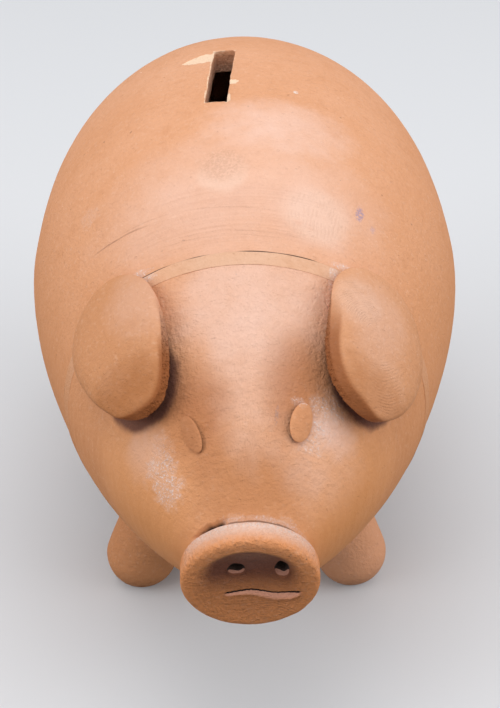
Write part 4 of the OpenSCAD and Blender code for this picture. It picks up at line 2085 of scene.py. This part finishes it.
HEAD_MARKS: tuple[Mark, ...] = (
    FilmAndPaintedLight(-43.0, 0.0, 8.0, 13.0, 0.9, (0.53, 0.22, 0.09)),
    # Paler patches over the top of the head: partly a pale bloom and partly painted sheen.
    FilmAndPaintedLight(-10.0, 2.0, 15.0, 18.0, 0.65),
    FilmAndPaintedLight(-27.0, 0.0, 14.0, 9.0, 0.38),
    # Painted shade on the forehead beside each ear, partly deeper orange clay.
    FilmAndPaintedLight(-30.0, -30.0, 10.0, 9.8, 0.75, PAINTED_SHADE_BY_EARS, 0.2),
    FilmAndPaintedLight(-25.5, 20.5, 10.5, 7.5, 0.65, PAINTED_SHADE_BY_EARS, 0.2),
    FilmAndPaintedLight(-36.0, 50.0, 8.0, 13.0, 0.35),
    FilmAndPaintedLight(-30.5, 47.0, 4.0, 6.0, 0.5, CHEEK_DUST),
    FilmAndPaintedLight(-30.5, -61.0, 4.5, 7.0, 0.5, CHEEK_DUST),
    # Painted light on both cheeks.
    FilmAndPaintedLight(-33.0, -82.0, 14.0, 20.0, 0.55, PAINTED_CHEEK_LIGHT),
    FilmAndPaintedLight(-33.0, 82.0, 14.0, 20.0, 0.4, PAINTED_CHEEK_LIGHT),
    FilmAndPaintedLight(-37.0, -108.0, 14.0, 18.0, 0.6, JOWL_BROWN),
    FilmAndPaintedLight(-37.0, 106.0, 14.0, 18.0, 0.7, JOWL_BROWN),
    Scrapes(-29.0, -2.0, 16.0, 10.0, 1.3, 0.9, 0.1),
    Scrapes(-18.0, -25.0, 9.0, 3.4, 9.0, 1.2, 0.06),
    Scrapes(-27.0, -27.0, 4.5, 4.0, 0.9, 12.0, 0.07),
    Scrapes(-38.0, 24.0, 7.0, 12.0, 1.0, 14.0, 0.06),
    Scrapes(-40.0, -30.0, 6.0, 14.0, 1.1, 14.0, 0.05),
    SaltBloom(-37.0, -59.0, 5.5, 5.5, 1.3),
    SaltBloom(-33.0, -48.0, 4.0, 3.5, 0.4),
    SaltBloom(-28.2, 37.0, 4.5, 4.5, 1.1),
    SaltBloom(-33.5, 34.0, 4.0, 4.0, 0.8),
    SaltBloom(-47.6, -20.0, 0.9, 3.0, 0.6),
    SaltBloom(-47.8, 20.0, 0.8, 4.0, 0.6),
    SaltBloom(-47.0, 42.0, 0.9, 3.0, 0.6),
    SaltBloom(-28.6, 22.6, 1.0, 1.7, 1.0),
    SaltBloom(-4.0, 27.0, 2.4, 1.2, 0.9),
    Smudge(-31.7, 13.7, 2.0, 0.5, (0.34, 0.24, 0.24), 0.4),
    # Painted shadow on the head under each ear's free end.
    FilmAndPaintedLight(-20.5, -46.0, 10.3, 13.0, 0.92, PAINTED_EAR_SHADOW, 0.15, -0.32),
    FilmAndPaintedLight(-18.5, 50.0, 10.9, 13.2, 0.92, PAINTED_EAR_SHADOW, 0.15, -0.32),
)
SLIP_MARKS: tuple[Mark, ...] = (
    SaltBloom(-1.2, 27.0, 2.4, 1.3, 1.4),
    SaltBloom(-0.6, -32.0, 1.4, 3.5, 1.4),
)
LEFT_EAR_MARKS: tuple[Mark, ...] = (
    FingerSweep((25.0, -16.0, 28.5), (22.2, -10.1, 34.5), 7.5, 0.5, 0.045, 0.2, 0.16),
    FingerSweep((24.0, -15.5, 29.0), (27.0, -24.0, 22.5), 8.0, 0.6, 0.035, 0.1, 0.1),
    # Painted light on the ear's inner side.
    FilmAndPaintedLight(-12.0, 40.0, 11.0, 8.0, 0.25),
    # Painted shade on the ear's lower end.
    FilmAndPaintedLight(-27.0, 46.0, 6.0, 12.0, 0.7, (0.48, 0.19, 0.07)),
)
RIGHT_EAR_MARKS: tuple[Mark, ...] = (
    FingerSweep((-34.0, -14.0, 26.0), (-26.4, -23.3, 23.2), 5.0, 1.1, 0.04, 0.05, 0.2),
    # Painted light on the ear's inner side.
    FilmAndPaintedLight(-9.0, -31.0, 11.0, 8.0, 0.25),
    # Painted shade on the ear's lower end.
    FilmAndPaintedLight(-27.0, -46.0, 7.0, 12.0, 0.85, (0.41, 0.15, 0.045)),
)
PRESSED_MARKS: tuple[Mark, ...] = (
    # Painted shade on both eyes, which sit in the painted shade beside the ears.
    FilmAndPaintedLight(-33.3, -30.0, 8.0, 6.0, 0.75, (0.42, 0.15, 0.05)),
    FilmAndPaintedLight(-32.0, 26.0, 6.0, 4.0, 0.3, (0.50, 0.19, 0.07)),
    SaltBloom(-28.8, 24.0, 1.6, 1.8, 1.2),
    # Painted light on the front foot on the pig's left, and painted shade on the one on its right.
    FilmAndPaintedLight(20.0, 156.0, 20.0, 20.0, 0.3, (0.96, 0.56, 0.42)),
    FilmAndPaintedLight(20.0, -156.0, 20.0, 20.0, 0.3, (0.40, 0.17, 0.085)),
)
SNOUT_MARKS: tuple[Mark, ...] = (
    FingerSweep((3.0, -52.0, -18.0), (3.0, -50.0, -10.5), 7.0, 0.6, 0.04, 0.0, 0.2),
    # Painted highlight along the top of the snout's edge.
    FilmAndPaintedLight(-50.5, 0.0, 2.6, 12.0, 0.6, (0.89, 0.64, 0.53)),
)
THROWN, SLIP, HAND = "terracotta_thrown", "terracotta_slip", "terracotta_pressed"
THROWN_BODY = ClayFinish("thrown_body", THROWN, side_grain=0.5, marks=BODY_MARKS)
THROWN_HEAD = ClayFinish("thrown_head", THROWN, grain_depth=0.13, side_grain=0.3, marks=HEAD_MARKS)
WIPED_SLIP = ClayFinish(
    "wiped_slip", SLIP, (0.70, 0.31, 0.135), (0.85, 0.625, 0.485), grain_depth=0.08, marks=SLIP_MARKS
)
LEFT_EAR_CLAY = ClayFinish("left_ear_clay", HAND, EAR_ORANGE, brush_depth=0.015, marks=LEFT_EAR_MARKS)
RIGHT_EAR_CLAY = ClayFinish(
    "right_ear_clay", HAND, EAR_ORANGE, (0.72, 0.355, 0.195), brush_depth=0.015, marks=RIGHT_EAR_MARKS
)
PRESSED = ClayFinish("pressed_clay", HAND, grain_depth=0.09, marks=PRESSED_MARKS)
SNOUT_CLAY = ClayFinish("snout_clay", HAND, (0.83, 0.315, 0.11), grain_depth=0.22, marks=SNOUT_MARKS)


def build_pieces(form: PigForm) -> list[bpy.types.Object]:
    """Builds every piece of clay in the order a potter joins them.

    Args:
        form: The form that the pieces sit on.

    Returns:
        The finished pieces.
    """
    relief = ReliefTree()
    thrown = Relief(0.14, 20.0, 0.05, 2.6)
    pressed = Relief(0.16, 7.0, tear_height=0.35)
    small = Relief(0.06, 3.0)
    ear = {"lift": 3.6, "tip_edge": 6.0, "raw_and_shade": 0.9, "spokes": 200, "hoops": 72}
    ear |= {"dish": 0.4, "root_thin": 0.55, "grog": GrogTree()}
    # Painted shadow on each ear's lower wall towards its free end.
    ear |= {"crack_and_shade": 0.7, "crack_top": -0.5, "crack_way": math.radians(-45)}
    # Painted shadow on each eye's lower wall.
    eye = {"length": 8.1, "spokes": 96, "hoops": 30, "crack_and_shade": 1.0}
    pieces: list[ClayPiece] = [
        ThrownBody(form, "body_shell", THROWN_BODY, thrown),
        ThrownHead(form, "head_shell", THROWN_HEAD, thrown),
        SeamBand(form, "seam_band", WIPED_SLIP, Relief(0.08, 6.0)),
        SnoutDisc(form, "snout_disc", SNOUT_CLAY, Relief(0.12, 5.0)),
        FloppedEar(
            form, "left_ear", LEFT_EAR_CLAY, pressed, Side.LEFT,
            fwd=12.55, angle=math.radians(45.7), length=34.1, width=25.5, turn=math.radians(3.5),
            taper=0.28, square=2.1, inner_square=2.45, bevel=0.15, tilt=-0.15, nod=0.9,
            cut_way=math.radians(-42), seed=3, rough_top=0.1, rough_way=math.radians(-62), **ear,
        ),
        FloppedEar(
            form, "right_ear", RIGHT_EAR_CLAY, pressed, Side.RIGHT,
            fwd=12.9, angle=math.radians(44.2), length=35.7, width=21.5, turn=math.radians(8.5),
            taper=0.32, square=2.48, inner_square=2.12, bevel=0.12, nod=2.2,
            cut_way=math.radians(-22), seed=8, rough_top=0.55, rough_way=math.radians(-38), **ear,
        ),
        ClayPad(
            form, "left_eye", PRESSED, small, Side.LEFT,
            fwd=32.0, angle=math.radians(25.9), width=4.6, thickness=1.0, tilt=-0.45, **eye,
        ),
        ClayPad(
            form, "right_eye", PRESSED, small, Side.RIGHT,
            fwd=33.3, angle=math.radians(29.9), width=3.5, turn=math.radians(6),
            thickness=0.5, tilt=-0.85, **eye,
        ),
        CurledTail(form, "tail", PRESSED, small, RollTree()),
    ]
    for row in FootRow:
        for side in Side:
            node = f"{row.name.lower()}_{side.name.lower()}_foot"
            pieces.append(StubFoot(form, node, PRESSED, Relief(0.1, 6.0), side, row))
    return [piece.build(relief) for piece in pieces]


def main() -> None:
    """Builds the camera, the pieces and the studio, and logs how many pieces stand for the solids."""
    logging.basicConfig(level=logging.INFO, format="%(name)s: %(message)s")
    form = PigForm.of_frame()
    PhotoCamera().build(form)
    pieces = build_pieces(form)
    Studio().build()
    LOG.info("%d pieces stand for %d solids", len(pieces), len(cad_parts))
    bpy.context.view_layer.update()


if __name__ == "__main__":
    main()
